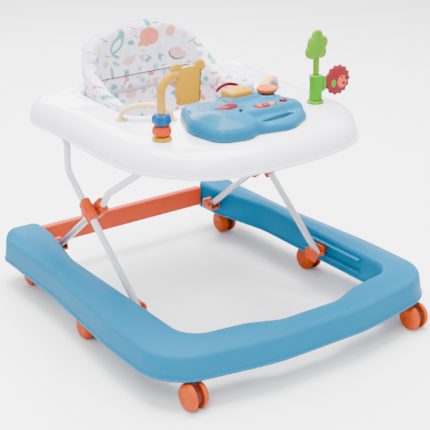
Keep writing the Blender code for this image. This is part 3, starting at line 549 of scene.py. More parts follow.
def piece(name, bm, look, body, slot, *nodes, **finish):
    """Make an object from a bmesh with a named look, and place it."""
    return place(finish_mesh(name, bm, LOOK[look], **finish), body, slot, *nodes)


def carry_over(node, look):
    """Keep a CAD node as it is, with its own material."""
    mesh = NODES[node].data
    mesh.materials.clear()
    mesh.materials.append(LOOK[look])
    mesh.shade_smooth()
    mesh.set_sharp_from_angle(angle=math.radians(35))


def solidify(obj, thickness):
    """Give an open surface a wall, inwards from its outer face."""
    modifier = obj.modifiers.new("Wall", "SOLIDIFY")
    modifier.thickness = thickness
    modifier.offset = -1.0
    modifier.use_even_offset = True


def bevel(obj, width, segments=3):
    """Round an object's sharp edges."""
    modifier = obj.modifiers.new("Rounding", "BEVEL")
    modifier.width = width
    modifier.segments = segments
    modifier.limit_method = "ANGLE"
    modifier.angle_limit = math.radians(30.0)


def apply_modifiers(obj):
    """Make what an object's modifiers do part of its mesh."""
    bpy.context.view_layer.update()
    evaluated = obj.evaluated_get(bpy.context.evaluated_depsgraph_get())
    mesh = bpy.data.meshes.new_from_object(evaluated)
    obj.modifiers.clear()
    obj.data = mesh


# ---------------------------------------------------------------- materials
def new_material(name):
    """A material with its node tree and its shader."""
    made = bpy.data.materials.new(name)
    made.use_nodes = True
    return made, made.node_tree, made.node_tree.nodes["Principled BSDF"]


def add(tree, kind, inputs, **settings):
    """A node whose inputs are given by name or index, as values or as sockets to link."""
    made = tree.nodes.new("ShaderNode" + kind)
    for key, value in settings.items():
        setattr(made, key, value)
    for key, value in inputs.items():
        if isinstance(value, bpy.types.NodeSocket):
            tree.links.new(value, made.inputs[key])
        else:
            made.inputs[key].default_value = value
    return made


def math_node(tree, operation, *values):
    return add(tree, "Math", dict(enumerate(values)), operation=operation).outputs[0]


def mix_colour(tree, share, first, second):
    """Socket of a colour between two, by a share."""
    first = first if isinstance(first, bpy.types.NodeSocket) else (*first, 1.0)
    second = second if isinstance(second, bpy.types.NodeSocket) else (*second, 1.0)
    return add(tree, "Mix", {0: share, 6: first, 7: second}, data_type="RGBA").outputs[2]


def tinted(colour, factor):
    return tuple(min(1.0, channel * factor) for channel in colour)


def object_place(tree):
    return add(tree, "TexCoord", {}).outputs["Object"]


def noise_at(tree, where, scale, detail=2.0):
    return add(tree, "TexNoise", {"Vector": where, "Scale": scale, "Detail": detail}).outputs["Fac"]


def stretched(tree, where, scale):
    """A place scaled along each axis, for marks with a direction."""
    return add(tree, "Mapping", {"Vector": where, "Scale": scale}).outputs[0]


def spread(tree, value, low, high, from_low=0.0, from_high=1.0):
    """Map a value from one range onto another."""
    return add(tree, "MapRange", {"Value": value, "From Min": from_low, "From Max": from_high,
                                  "To Min": low, "To Max": high}).outputs[0]


def surface(tree, shader, colour, roughness, height, bump, distance, **values):
    """Link a shader's colour, roughness and bump, and set its other inputs."""
    tree.links.new(colour, shader.inputs["Base Color"])
    tree.links.new(roughness, shader.inputs["Roughness"])
    raised = add(tree, "Bump", {"Height": height, "Strength": bump, "Distance": distance})
    tree.links.new(raised.outputs[0], shader.inputs["Normal"])
    for name, value in values.items():
        shader.inputs[name.replace("_", " ")].default_value = value


def plastic(name, colour, roughness=0.30, mottle=0.05, wear_and_highlight=0.30, grain=0.10, coat=0.0, shine=0.06):
    """Moulded plastic: slight mottling, paler convex edges (partly wear, partly a painted edge highlight),
    uneven gloss and a fine moulded grain.
    """
    made, tree, shader = new_material(name)
    where = object_place(tree)
    cloud = noise_at(tree, where, scale=16.0, detail=4.0)
    base = mix_colour(tree, cloud, tinted(colour, 1 - mottle), tinted(colour, 1 + mottle))
    # convex edges are mixed towards white: partly wear, partly a painted highlight along the edges
    edges = spread(tree, add(tree, "NewGeometry", {}).outputs["Pointiness"], 0.0, wear_and_highlight, 0.52, 0.62)
    paler = tuple(channel + (1.0 - channel) * 0.35 for channel in colour)
    gloss = noise_at(tree, where, scale=55.0, detail=3.0)
    surface(tree, shader, mix_colour(tree, edges, base, paler),
            spread(tree, gloss, max(0.04, roughness - 0.06), roughness + 0.06),
            noise_at(tree, where, scale=700.0, detail=2.0), grain, 0.0002,
            Specular_IOR_Level=shine, Coat_Weight=coat, Coat_Roughness=0.08)
    return made


def enamel(name, colour, roughness=0.22):
    """Powder-coated tube: faint orange peel, dust-dulled patches and light scuffs along it."""
    made, tree, shader = new_material(name)
    where = object_place(tree)
    cloud = noise_at(tree, where, scale=9.0, detail=5.0)
    base = mix_colour(tree, cloud, tinted(colour, 0.94), tinted(colour, 1.04))
    scuffs = noise_at(tree, stretched(tree, where, (40.0, 260.0, 260.0)), scale=1.0, detail=3.0)
    marks = spread(tree, scuffs, 0.0, 0.25, 0.62, 0.74)
    surface(tree, shader, mix_colour(tree, marks, base, tinted(colour, 0.72)),
            spread(tree, cloud, roughness - 0.05, roughness + 0.10),
            noise_at(tree, where, scale=380.0, detail=2.0), 0.10, 0.0003,
            Coat_Weight=0.3, Coat_Roughness=0.10)
    return made


def steel(name, colour):
    """Turned steel with fine rings."""
    made, tree, shader = new_material(name)
    where = object_place(tree)
    rings = noise_at(tree, stretched(tree, where, (2400.0, 90.0, 90.0)), scale=1.0, detail=2.0)
    surface(tree, shader, mix_colour(tree, rings, tinted(colour, 0.85), tinted(colour, 1.08)),
            spread(tree, rings, 0.22, 0.40), rings, 0.15, 0.0001, Metallic=1.0)
    return made


def weave_height(tree, where, pitch):
    """Plain weave as a height: crossing waves of threads."""
    warp, weft, depth = [
        add(tree, "TexWave", {"Vector": where, "Scale": math.tau / pitch / 20.0, "Distortion": 0.6,
                              "Detail": 1.0}, bands_direction=axis).outputs["Fac"] for axis in "XZY"]
    return math_node(tree, "MAXIMUM", math_node(tree, "MULTIPLY", warp, weft),
                     math_node(tree, "MULTIPLY", depth, weft))


def fabric(name, colour, marks=(), roughness=0.88):
    """Woven polyester with soft creases, painted shade between the threads and an optional print of painted
    shapes.
    """
    made, tree, shader = new_material(name)
    where = object_place(tree)
    cloud = noise_at(tree, where, scale=28.0, detail=4.0)
    base = mix_colour(tree, cloud, tinted(colour, 0.93), tinted(colour, 1.05))
    if marks:
        base = painted(tree, where, base, marks)
    threads = weave_height(tree, where, 0.0011)
    creases = noise_at(tree, stretched(tree, where, (1.0, 1.0, 0.55)), scale=34.0, detail=4.0)
    height = math_node(tree, "ADD", math_node(tree, "MULTIPLY", threads, 0.10), creases)
    # the colour darkens slightly where the threads dip: painted shade in the weave's hollows
    surface(tree, shader, mix_colour(tree, spread(tree, threads, 0.10, 0.0), base, tinted(colour, 0.55)),
            spread(tree, cloud, roughness - 0.06, roughness + 0.06), height, 0.55, 0.0030,
            Sheen_Weight=0.25, Sheen_Roughness=0.5)
    return made


# ---------------------------------------------------------------- the seat's print
SEAT_CENTRE_Y = 0.06
SEAT_RADIUS = 0.16
SEAT_RIM_RADIUS = 0.143
SEAT_REGION_WIDTH = 0.024
SEAT_REGIONS = [SEAT_REGION_WIDTH * index for index in range(-21, 22)]    # bounds round the seat
RAGGED_EDGE = 0.0040          # how far a mark's edge wanders
MM_PER_M = 1000

INKS = {"coral": (0.62, 0.125, 0.055), "peach": (0.62, 0.24, 0.15), "pink": (0.62, 0.31, 0.29),
        "teal": (0.040, 0.245, 0.290), "sky": (0.115, 0.350, 0.470), "grey": (0.24, 0.31, 0.40),
        "dark": (0.055, 0.035, 0.070), "red": (0.24, 0.018, 0.025), "cloth": FABRIC_WHITE}


def cloth_place(tree, where):
    """Distance round the seat and up its cloth, in metres, with a brushed edge."""
    parts = add(tree, "SeparateXYZ", {0: where})
    back = math_node(tree, "SUBTRACT", parts.outputs["Y"], SEAT_CENTRE_Y)
    turn = math_node(tree, "ARCTAN2", parts.outputs["X"], back)
    round_seat = math_node(tree, "MULTIPLY", turn, SEAT_RADIUS)
    plan = add(tree, "CombineXYZ", {"X": parts.outputs["X"], "Y": back, "Z": 0.0}).outputs[0]
    reach = add(tree, "VectorMath", {0: plan}, operation="LENGTH").outputs["Value"]
    inward = math_node(tree, "MAXIMUM", 0.0, math_node(tree, "SUBTRACT", SEAT_RIM_RADIUS, reach))
    height = math_node(tree, "SUBTRACT", parts.outputs["Z"], math_node(tree, "MULTIPLY", 0.8, inward))
    flat = add(tree, "CombineXYZ", {"X": round_seat, "Y": height, "Z": 0.0}).outputs[0]
    ragged = add(tree, "TexNoise", {"Vector": where, "Scale": 160.0, "Detail": 2.0}).outputs["Color"]
    centred = add(tree, "VectorMath", {0: ragged, 1: (0.5, 0.5, 0.5)}, operation="SUBTRACT").outputs[0]
    shift = add(tree, "VectorMath", {0: centred, "Scale": RAGGED_EDGE}, operation="SCALE").outputs[0]
    return add(tree, "VectorMath", {0: flat, 1: shift}, operation="ADD").outputs[0]


def painted(tree, where, base, marks):
    """Lay ellipses (colour, s, t, half width, half height, turn in degrees) over a colour."""
    spot = cloth_place(tree, where)
    for colour, s, t, half_width, half_height, turn in marks:
        local = add(tree, "Mapping", {"Vector": spot, "Location": (s, t, 0.0),
                                      "Rotation": (0.0, 0.0, math.radians(turn)),
                                      "Scale": (half_width, half_height, 1.0)}, vector_type="TEXTURE")
        reach = add(tree, "VectorMath", {0: local.outputs[0]}, operation="LENGTH").outputs["Value"]
        base = mix_colour(tree, spread(tree, reach, 1.0, 0.0, 0.93, 1.04), base, colour)
    return base


def blot(ink, s, t, turn, half_width, half_height):
    """One plain oval mark."""
    return [(ink, s, t, half_width, half_height, turn)]


def figure(s, t, lean, size, parts):
    """An animal from parts (ink, across, up, half width, half height, turn) given by its size."""
    cos, sin = math.cos(math.radians(lean)), math.sin(math.radians(lean))
    return [(ink, s + size * (a * cos - b * sin), t + size * (a * sin + b * cos),
             size * half_width, size * half_height, lean + turn)
            for ink, a, b, half_width, half_height, turn in parts]


def round_beast(ink, s, t, lean, size):
    """A plump round animal with a pointed nose, seen from the side."""
    return figure(s, t, lean, size, ((ink, 0.0, 0.0, 1.0, 0.92, 0), (ink, -0.95, -0.30, 0.42, 0.26, 20),
                                     ("cloth", -0.05, -1.02, 0.42, 0.24, 0)))


def ring_beast(ink, s, t, lean, size):
    """A long-bodied animal drawn as an outline with a filled head."""
    return figure(s, t, lean, size, ((ink, 0.0, 0.0, 1.0, 0.46, 0), ("cloth", -0.1, 0.0, 0.66, 0.22, 0),
                                     (ink, 1.0, 0.15, 0.42, 0.30, 35), ("dark", 1.05, 0.25, 0.07, 0.07, 0),
                                     (ink, -1.0, -0.45, 0.14, 0.40, 0)))


def sprig(ink, s, t, turn, size, leaves=5):
    """A small burst of narrow leaves."""
    return [(ink, s, t, size, size * 0.16, turn + 180.0 * index / leaves) for index in range(leaves)]


def dash(ink, s, t, turn, half_length=6.0):
    """A thin stroke."""
    return blot(ink, s, t, turn, half_length, 1.1)


# the large marks in painting order: kind, ink, mm round the seat, mm up, turn in degrees, sizes in mm
LARGE_MARKS = (
    (round_beast, "coral", 19, 486, 12, 20.5), (ring_beast, "teal", -47, 482, 52, 21.5),
    (blot, "peach", 62, 491, -10, 8.5, 12), (blot, "pink", -28, 447, 8, 12.5, 9),
    (blot, "peach", -22, 524, 4, 21, 3), (blot, "dark", 72, 444, -28, 17, 12.5),
    (blot, "pink", 73.5, 445.5, -28, 16, 10.5), (blot, "cloth", 87, 452, -28, 8, 6),
    (blot, "dark", 74.5, 447, 0, 1.2, 1.2), (ring_beast, "teal", 108, 462, -50, 12),
    (blot, "teal", 12, 441, 30, 6, 4.5), (blot, "teal", 17, 446, -40, 7.5, 1.8),
    (sprig, "sky", 28, 425, 10, 8.5), (sprig, "teal", -36, 424, 25, 8), (sprig, "sky", -3, 404, 0, 8.5),
    (sprig, "grey", 46, 411, 20, 7.5), (sprig, "teal", -62, 400, 40, 8.5),
    (blot, "teal", -87, 503, 35, 12, 3.5), (blot, "teal", -94, 494, 10, 9.5, 3),
    (blot, "sky", -71, 515, 20, 12, 3), (blot, "teal", -63, 428, 0, 2.8, 13),
    (blot, "teal", 130, 440, 25, 5.5, 8), (blot, "sky", 137, 432, -30, 8, 4),
    (blot, "red", 110, 474, -33, 12, 1.6), (blot, "pink", 112, 472, -33, 9.5, 0.9),
    (blot, "coral", 146, 414, 8, 10.5, 3), (blot, "coral", 157, 400, -38, 3.5, 17),
    (blot, "coral", 161, 386, 10, 11, 3.5), (blot, "sky", 184, 409, 0, 9.5, 6),
    (blot, "grey", 196, 404, 0, 3, 3), (blot, "pink", 205, 392, 5, 10, 3.5),
    (blot, "coral", -142, 452, -12, 8.5, 15), (blot, "coral", -146, 433, 18, 4, 12),
    (blot, "pink", -122, 467, 0, 6.5, 10), (blot, "red", -112, 440, 12, 2, 7),
    (sprig, "teal", -170, 415, 15, 8.5), (blot, "sky", -192, 402, 12, 11, 3.5),
    (blot, "coral", -176, 396, 30, 4, 6), (blot, "teal", -118, 404, 8, 8.5, 4.5),
    (blot, "coral", -92, 404, 20, 5.5, 3.5), (blot, "pink", -25, 378, 5, 12, 10),
    (blot, "teal", -55, 377, -15, 6, 7), (blot, "coral", 70, 380, -10, 13, 8),
    (blot, "sky", 105, 395, 20, 10, 5),
    (dash, "red", -12, 508, -35), (dash, "dark", -15, 452, 70), (dash, "dark", -68, 493, -40),
    (dash, "dark", -12, 411, 10), (dash, "pink", 40, 461, 30), (dash, "pink", 85, 478, 75),
    (dash, "dark", 93, 425, 20), (dash, "pink", -44, 508, 15), (dash, "pink", -79, 470, 80),
    (dash, "sky", 48, 506, -20), (dash, "teal", 78, 503, -40), (dash, "sky", -100, 478, -20),
    (dash, "grey", 3, 461, 5), (dash, "red", 120, 420, 40), (dash, "dark", -130, 420, -60),
    (dash, "pink", 170, 420, -15))


def small_marks(large):
    """Small leaves, spots and dashes that fill the cloth between the large marks."""
    dice = random.Random(11)
    marks = []
    for row in range(-14, 10):
        for column in range(-25, 26):
            s = 19.0 * column + 9.5 * (row % 2) + dice.uniform(-4, 4)
            t = 378 + 16.5 * row + dice.uniform(-4, 4)
            if (row < 0 or abs(s) > 210) and (row + column) % 2 or row < -8 and column % 3:
                continue
            kind = dice.randrange(5)
            ink = dice.choice(("teal", "sky", "pink", "coral", "peach"))
            turn = dice.uniform(-80, 80)
            if any(math.hypot(mark[1] - s, mark[2] - t) < max(mark[3:5]) + 5.0 for mark in large):
                continue
            if kind == 0:
                marks += blot(ink, s, t, turn, 8.5, 3.6) + blot(ink, s + 3, t + 4, turn + 60, 6.0, 2.5)
            elif kind == 1:
                marks += blot("teal", s, t, turn, 7.5, 5.0)
            elif kind == 2:
                marks += dash("red" if turn > 0 else "dark", s, t, turn, 6.5)
            elif kind == 3:
                marks += sprig("sky", s, t, turn, 7.8, 3)
            else:
                marks += blot(ink, s, t, turn, 7.0, 4.4)
    return marks


def seat_print():
    """All marks of the print, as (colour, s, t, half width, half height, turn) in metres."""
    large = [mark for kind, *facts in LARGE_MARKS for mark in kind(*facts)]
    return [(INKS[ink], s / MM_PER_M, t / MM_PER_M, half_width / MM_PER_M, half_height / MM_PER_M, turn)
            for ink, s, t, half_width, half_height, turn in large + small_marks(large)]


def marks_between(marks, low, high):
    """The marks that reach into one stretch round the seat."""
    margin = 0.003
    return [mark for mark in marks
            if low - margin < mark[1] + max(mark[3:5]) and mark[1] - max(mark[3:5]) < high + margin]


def lay_print(cloth):
    """Give each face the stretch of printed cloth that lies at its place round the seat."""
    for polygon in cloth.data.polygons:
        x, y, _ = polygon.center
        round_seat = SEAT_RADIUS * math.atan2(x, y - SEAT_CENTRE_Y)
        region = math.floor((round_seat - SEAT_REGIONS[0]) / SEAT_REGION_WIDTH)
        polygon.material_index = min(max(region, 0), len(SEAT_REGIONS) - 2)


def make_materials():
    """Every material of the walker; the printed cloth is a list, one for each stretch of the seat."""
    print_marks = seat_print()
    return {
        "blue": plastic("blue_base_plastic", BLUE, 0.42, mottle=0.03, wear_and_highlight=0.08, grain=0.14, shine=0.03),
        "panel_blue": plastic("blue_panel_plastic", BLUE, 0.26, mottle=0.03, wear_and_highlight=0.08, grain=0.06,
                              coat=0.02),
        "orange": plastic("orange_plastic", ORANGE, 0.34, wear_and_highlight=0.25),
        "wheel": plastic("orange_wheel_plastic", WHEEL_ORANGE, 0.38, mottle=0.07, wear_and_highlight=0.20, grain=0.16),
        "dark_red": plastic("dark_red_plastic", DARK_RED, 0.45),
        "black": plastic("black_plastic", BLACK, 0.40, wear_and_highlight=0.12),
        "white": plastic("white_tray_plastic", WHITE, 0.20, mottle=0.02, wear_and_highlight=0.0, grain=0.03, coat=0.30,
                         shine=0.4),
        "white_part": plastic("white_fitting_plastic", WHITE, 0.36),
        "tube": enamel("white_tube_enamel", TUBE_WHITE),
        "steel": steel("rivet_steel", STEEL),
        "yellow": plastic("yellow_plastic", YELLOW, 0.30),
        "green": plastic("green_plastic", GREEN, 0.30, coat=0.03),
        "leaf": plastic("leaf_green_plastic", LEAF_GREEN, 0.36),
        "red": plastic("red_plastic", RED, 0.24, coat=0.06),
        "cream": plastic("cream_plastic", CREAM, 0.34),
        # painted shade for the grips' inner faces
        "grip_painted_shade": plastic("grip_painted_shade_plastic", GRIP_SHADE_GREY, 0.50),
        "dark_red_gloss": plastic("small_button_plastic", KEY_RED, 0.25, coat=0.05),
        "coral": plastic("coral_plastic", CORAL, 0.26, coat=0.05),
        "hedgehog": plastic("coral_red_plastic", HEDGEHOG_RED, 0.38, mottle=0.30),
        "deep_blue": plastic("deep_blue_plastic", DEEP_BLUE, 0.28, coat=0.04),
        "pink": plastic("pink_plastic", PINK, 0.26, coat=0.04),
        "seat": [fabric(f"printed_seat_fabric_{index}", FABRIC_WHITE, marks_between(print_marks, low, high))
                 for index, (low, high) in enumerate(zip(SEAT_REGIONS, SEAT_REGIONS[1:]))],
        "binding": fabric("seat_binding_fabric", tinted(FABRIC_WHITE, 1.03)),
        "thread": plastic("dark_seam_thread", THREAD_DARK, 0.8, grain=0.4),
        "foam": fabric("backrest_lining", LINING_GREY),
    }


LOOK = make_materials()       # each material, or list of materials, by its short name


# ---------------------------------------------------------------- base
# side of the base from its lower lip to its crown: outer (z, inset), inner (z, inset)
BASE_SIDE_KNOTS = (
    ((0.0540, 0.0006), (0.0540, 0.0004)), ((0.0550, 0.0000), (0.0550, 0.0000)),
    ((0.0585, 0.0000), (0.0585, 0.0000)), ((0.0598, 0.0020), (0.0598, 0.0014)),
    ((0.0700, 0.0032), (0.0700, 0.0014)), ((0.0800, 0.0046), (0.0850, 0.0016)),
    ((0.0895, 0.0060), (0.0970, 0.0018)), ((0.0938, 0.0070), (0.1040, 0.0024)),
    ((0.0970, 0.0088), (0.1080, 0.0040)), ((0.0990, 0.0114), (0.1103, 0.0062)),
    ((0.1002, 0.0150), (0.1115, 0.0088)), ((0.1011, 0.0190), (0.1120, 0.0115)))
BOSS_FOOT_Z, BOSS_TOP_Z, BOSS_RADIUS = 0.0542, 0.0965, 0.0113
TRACK_RAILS = (("low", 0.0705, 0.0740), ("high", 0.0960, 0.0990))


def caster_axes():
    """Name and plan place of each caster's swivel axis."""
    for place_name, x, y in CASTER_PLACES:
        for side, sign in SIDES:
            yield f"{place_name}_{side}", sign * x, y


def base_innerness(outline):
    """For each point of the base's outline, 0 on the outer side, 1 on the inner side."""
    last = len(BASE_OUTER) * 2 + len(BASE_INNER) * 2 - 1
    rear_outer = len(BASE_OUTER) - 1
    result = []
    for _, corner, fraction in outline:
        side = corner if corner <= last // 2 else last - corner
        along = fraction if corner <= last // 2 else 1 - fraction
        result.append(smooth_step(0, 1, along if side == rear_outer else float(side > rear_outer)))
    return result


def make_base():
    """The moulded channel of the base, hollow underneath, with ribs, caster bosses and tracks."""
    outline = with_straights(rounded_outline(mirrored(BASE_OUTER + BASE_INNER), 110), 0.0060)
    points = [point for point, _, _ in outline]
    innerness = base_innerness(outline)
    around = list(zip(points, inward_normals(points), innerness))
    bm = bmesh.new()
    rows = []
    for (outer_z, outer_inset), (inner_z, inner_inset) in BASE_SIDE_KNOTS:
        rows.append([(*(point + normal * (outer_inset + (inner_inset - outer_inset) * share)),
                      outer_z + (inner_z - outer_z) * share) for point, normal, share in around])
    rim = loft(bm, rows)[-1]
    outer_edge = ring_tree([v for v, share in zip(rim, innerness) if share < 0.5])
    inner_edge = ring_tree([v for v, share in zip(rim, innerness) if share >= 0.5])
    (outer_top, _), (inner_top, _) = BASE_SIDE_KNOTS[-1]

    def crown(x, y):
        to_outer, to_inner = distance_to(outer_edge, x, y), distance_to(inner_edge, x, y)
        share = to_outer / max(1e-9, to_outer + to_inner)
        return outer_top + (inner_top - outer_top) * math.sin(math.pi / 2 * share)
    rim_heights = [vertex.co.z for vertex in rim]
    fill_surface(bm, rim, [], spacing=0.0060, height=crown)
    for vertex, z in zip(rim, rim_heights):
        vertex.co.z = z
    body = piece("base_body", bm, "blue", "base", "blue_plastic", "base_shell", recalc=False)
    solidify(body, SHELL_WALL)

    for name, x, y in caster_axes():
        boss = turned(((0.0, BOSS_FOOT_Z), (0.0102, BOSS_FOOT_Z), (BOSS_RADIUS, BOSS_FOOT_Z + 0.0011),
                       (BOSS_RADIUS, BOSS_TOP_Z), (0.0, BOSS_TOP_Z)), 40, centre=(x, y, 0))
        for turn in range(4):
            rib = block((0.0105, -0.0009, 0.0600), (0.0138, 0.0009, 0.0900))
            spin = Matrix.Rotation(math.radians(45 + 90 * turn), 4, "Z")
            merge(boss, moved(rib, Matrix.Translation((x, y, 0)) @ spin))
        piece(f"caster_boss_{name}", boss, "blue", "base", "blue_plastic")

    for side, sign in SIDES:
        for level, low, high in TRACK_RAILS:
            rail = side_box(sign, (0.2206, -0.178, low), (0.2288, -0.035, high))
            bevel(piece(f"foot_track_{side}_{level}", rail, "blue", "base", "blue_plastic"), 0.0012)
        lug = side_turned(((0.0, 0.2145), (0.0022, 0.2145), (0.0030, 0.2155), (0.0054, 0.2158),
                           (0.0072, 0.2172), (0.0078, 0.2200), (0.0080, 0.2290), (0.0, 0.2290)),
                          sign, (0, 0.196, 0.075), 40)
        piece(f"inner_wall_boss_{side}", lug, "blue", "base", "blue_plastic")

    crossbar = block(*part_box("rear_crossbar"))
    bevel(piece("crossbar_body", crossbar, "orange", "base", "orange_plastic", "rear_crossbar"), 0.0030, 4)


# ---------------------------------------------------------------- casters
FORK_RADIUS = 0.0188
FORK_HALF_WIDTH = 0.0058
FORK_TOP_Z = 0.0505
HUB_RADIUS, HUB_HALF_WIDTH = 0.0078, 0.0064
DISC_PROFILE = ((0.0, 0.0213), (0.0028, 0.0211), (0.0033, 0.0202), (0.0050, 0.0202), (0.0058, 0.0210),
                (0.0130, 0.0206), (0.0190, 0.0187), (0.0226, 0.0157), (0.0243, 0.0127),
                (0.0250, 0.0100), (0.0250, 0.0074), (0.0240, 0.0067), (0.0212, 0.0067),
                (0.0204, 0.0080), (0.0092, 0.0080), (0.0084, 0.0067), (0.0, 0.0067))
# a black cap on each caster, dark also to stand for the shadowed gap under the base: partly painted shade
SHADE_COLLAR_PROFILE = ((0.0, 0.0504), (0.0120, 0.0504), (0.0168, 0.0512), (0.0168, 0.0536), (0.0, 0.0536))


def make_casters():
    """Six swivelling forks, each with a pair of wheels."""
    for name, x, y in caster_axes():
        axle_y, axle_z = y - CASTER_TRAIL, WHEEL_RADIUS
        body, wheels = f"caster_{name}", f"wheels_{name}"
        web = arc(axle_y, axle_z, FORK_RADIUS, 132, 348, 16)
        web += [Vector(corner) for corner in ((y + 0.0080, 0.0360), (y + 0.0096, FORK_TOP_Z),
                                              (axle_y - 0.0030, FORK_TOP_Z))]
        fork = side_plate(resampled(web, 0.0022), -FORK_HALF_WIDTH, FORK_HALF_WIDTH, 1, 0.0012, 3)
        piece(f"caster_fork_{name}", moved(fork, Matrix.Translation((x, 0, 0))), "dark_red", body,
              "orange_plastic", f"caster_swivel_{name}")
        # the black collar: a real cap plus painted shade of the gap below the base
        collar = turned(rounded_profile(SHADE_COLLAR_PROFILE, 0.0008), 48, centre=(x, y, 0))
        piece(f"caster_shade_collar_{name}", collar, "black", body, "orange_plastic")
        hub = turned(rod(HUB_RADIUS, -HUB_HALF_WIDTH, HUB_HALF_WIDTH), 32, "X", (x, axle_y, axle_z))
        piece(f"caster_hub_{name}", hub, "orange", wheels, "orange_plastic")
        discs = merge(bmesh.new(), *(side_turned(rounded_profile(DISC_PROFILE, 0.0007, 3), outward,
                                                 (x, axle_y, axle_z), 64) for outward in (-1.0, 1.0)))
        piece(f"caster_discs_{name}", discs, "wheel", wheels, "wheel_plastic", f"twin_wheels_{name}")


# ---------------------------------------------------------------- scissor frame
def at_x(point, x):
    return Vector((x, point.y, point.z))


def bent_tube(name, half_path, tube_x, node):
    """A U-shaped tube: a half path in the YZ plane at +x, mirrored across the walker."""
    right = [(at_x(point, tube_x), radius) for point, radius in half_path]
    left = [(at_x(point, -tube_x), radius) for point, radius in reversed(half_path)]
    tube = sweep(bent_path(right + left), circle(TUBE_RADIUS, 28), cap=False)
    solidify(piece(name, tube, "tube", name, "painted_tube", node), TUBE_WALL)


def make_tubes():
    """The two crossed legs, each a tube bent into a U."""
    down_back = (REAR_FOOT - PIVOT).normalized()
    down_front = (FRONT_FOOT - PIVOT).normalized()
    past_foot = 0.010
    bent_tube("inner_leg", ((REAR_FOOT + down_back * past_foot, 0.0), (PIVOT - down_back * 0.026, 0.012),
                            (Vector((0, 0.0600, 0.2560)), 0.014), (Vector((0, -0.0500, 0.3270)), 0.020),
                            (TRAY_SLIDE, 0.026)), INNER_TUBE_X, "inner_leg_tube")
    bent_tube("outer_leg", ((FRONT_FOOT + down_front * past_foot, 0.0),
                            (Vector((0, 0.1720, 0.2740)), 0.030), (Vector((0, 0.1680, 0.3380)), 0.022),
                            (TRAY_HINGE, 0.055)), OUTER_TUBE_X, "outer_leg_tube")


def clip_section():
    """Outline of a pivot sleeve: two rounded lobes with a crease between them."""
    points = []
    for step in range(56):
        angle = math.tau * step / 56
        a, b = math.cos(angle), math.sin(angle)
        across = 0.0145 * math.copysign(abs(b) ** 0.80, b)
        crease_depth = 1.0 - 0.20 * math.exp(-((across + 0.0030) / 0.0016) ** 2)
        points.append((0.0096 * math.copysign(abs(a) ** 0.62, a) * crease_depth, across))
    return points


def make_pivots():
    """Sleeves round the crossing tubes, on a pin with a cap."""
    ends = ((0.0220, 0.82), (0.0217, 0.90), (0.0208, 0.96), (0.0190, 1.0), (0.0030, 1.0), (0.0016, 0.995))
    lengths = [(-along, scale) for along, scale in ends] + [(0.0, 0.99)] + list(reversed(ends))
    cap_profile = ((0.0, 0.0), (0.0080, 0.0), (0.0080, 0.0022), (0.0070, 0.0036), (0.0040, 0.0044),
                   (0.0, 0.0046))
    for side, sign in SIDES:
        for leg, tube_x, lean in (("outer", OUTER_TUBE_X, ARM_ANGLE), ("inner", INNER_TUBE_X, -ARM_ANGLE)):
            bm = bmesh.new()
            close_ends(bm, loft(bm, ([(a * scale, along, b * scale) for a, b in clip_section()]
                                     for along, scale in lengths)))
            turn = Matrix.Rotation(lean, 4, "X")
            moved(bm, Matrix.Translation(at_x(PIVOT, sign * tube_x)) @ turn)
            piece(f"{leg}_clip_{side}", bm, "orange", f"{leg}_leg", "orange_plastic",
                  f"{leg}_pivot_clip_{side}")
        carry_over(f"pivot_pin_{side}", "steel")
        cap = side_turned(cap_profile, sign, at_x(PIVOT, sign * (OUTER_TUBE_X + 0.0096)))
        piece(f"pivot_cap_{side}", cap, "orange", "inner_leg", "orange_plastic")


CHEEK_RADIUS = 0.0100
CHEEK_EDGE = 0.0008
INNER_CHEEK_X, OUTER_CHEEK_X = (0.1765, 0.1796), (0.1944, 0.1975)


def make_rear_feet():
    """U-shaped orange brackets that hold the inner tube's ends on a pin."""
    cheek = arc(REAR_FOOT.y, REAR_FOOT.z, CHEEK_RADIUS, 0, 180, 16)
    cheek += [Vector(corner) for corner in ((0.2500, 0.0730), (0.2838, 0.0730), (0.2838, 0.0840))]
    cheek = resampled(cheek, 0.0016)
    pin_profile = ((0.0, 0.1745), (0.0040, 0.1745), (0.0050, 0.1764), (0.0028, 0.1766),
                   (0.0028, 0.1976), (0.0, 0.1976))
    for side, sign in SIDES:
        bracket = side_plate(cheek, *INNER_CHEEK_X, sign, CHEEK_EDGE)
        merge(bracket, side_plate(cheek, *OUTER_CHEEK_X, sign, CHEEK_EDGE),
              side_box(sign, (0.1770, 0.2505, 0.0732), (0.1970, 0.2835, 0.0765)),
              side_box(sign, (0.1770, 0.2778, 0.0735), (0.1970, 0.2833, 0.0900)))
        piece(f"rear_foot_socket_{side}", bracket, "orange", "base", "orange_plastic",
              f"rear_foot_bracket_{side}")
        pin = side_turned(pin_profile, sign, REAR_FOOT, 24)
        piece(f"rear_foot_pin_{side}", pin, "black", "base", "steel")


def make_front_feet():
    """Chunky shoes that carry the outer tube's ends and run in the base's tracks."""
    y, z = FRONT_FOOT.y, FRONT_FOOT.z
    parts = (    # outline, inner x, outer x, rounding, steps of the rounding
        (oval(y - 0.0068, z - 0.0088, 0.0112, 0.0126, 40, 0.62), 0.1962, 0.2016, 0.0030, 6),
        (oval(y + 0.0078, z - 0.0086, 0.0098, 0.0124, 40, 0.62), 0.1966, 0.2016, 0.0026, 6),
        (rectangle(y, z, 0.0270, 0.0164, 0.003, 32), 0.2166, 0.2262, 0.0012, 4),
        (circle(0.0040, 20, y + 0.002, z - 0.0160), 0.1975, 0.2190, 0.0010, 4),
        (circle(0.0034, 20, y - 0.0150, z - 0.0070), 0.1975, 0.2190, 0.0010, 4))
    for side, sign in SIDES:
        shoe, *others = [side_plate(outline, inner_x, outer_x, sign, edge, steps)
                         for outline, inner_x, outer_x, edge, steps in parts]
        merge(shoe, *others, side_turned(rod(0.0032, 0.1990, 0.2200), sign, FRONT_FOOT, 24))
        piece(f"front_shoe_{side}", shoe, "orange", f"front_slider_{side}", "orange_plastic",
              f"front_foot_slider_{side}")


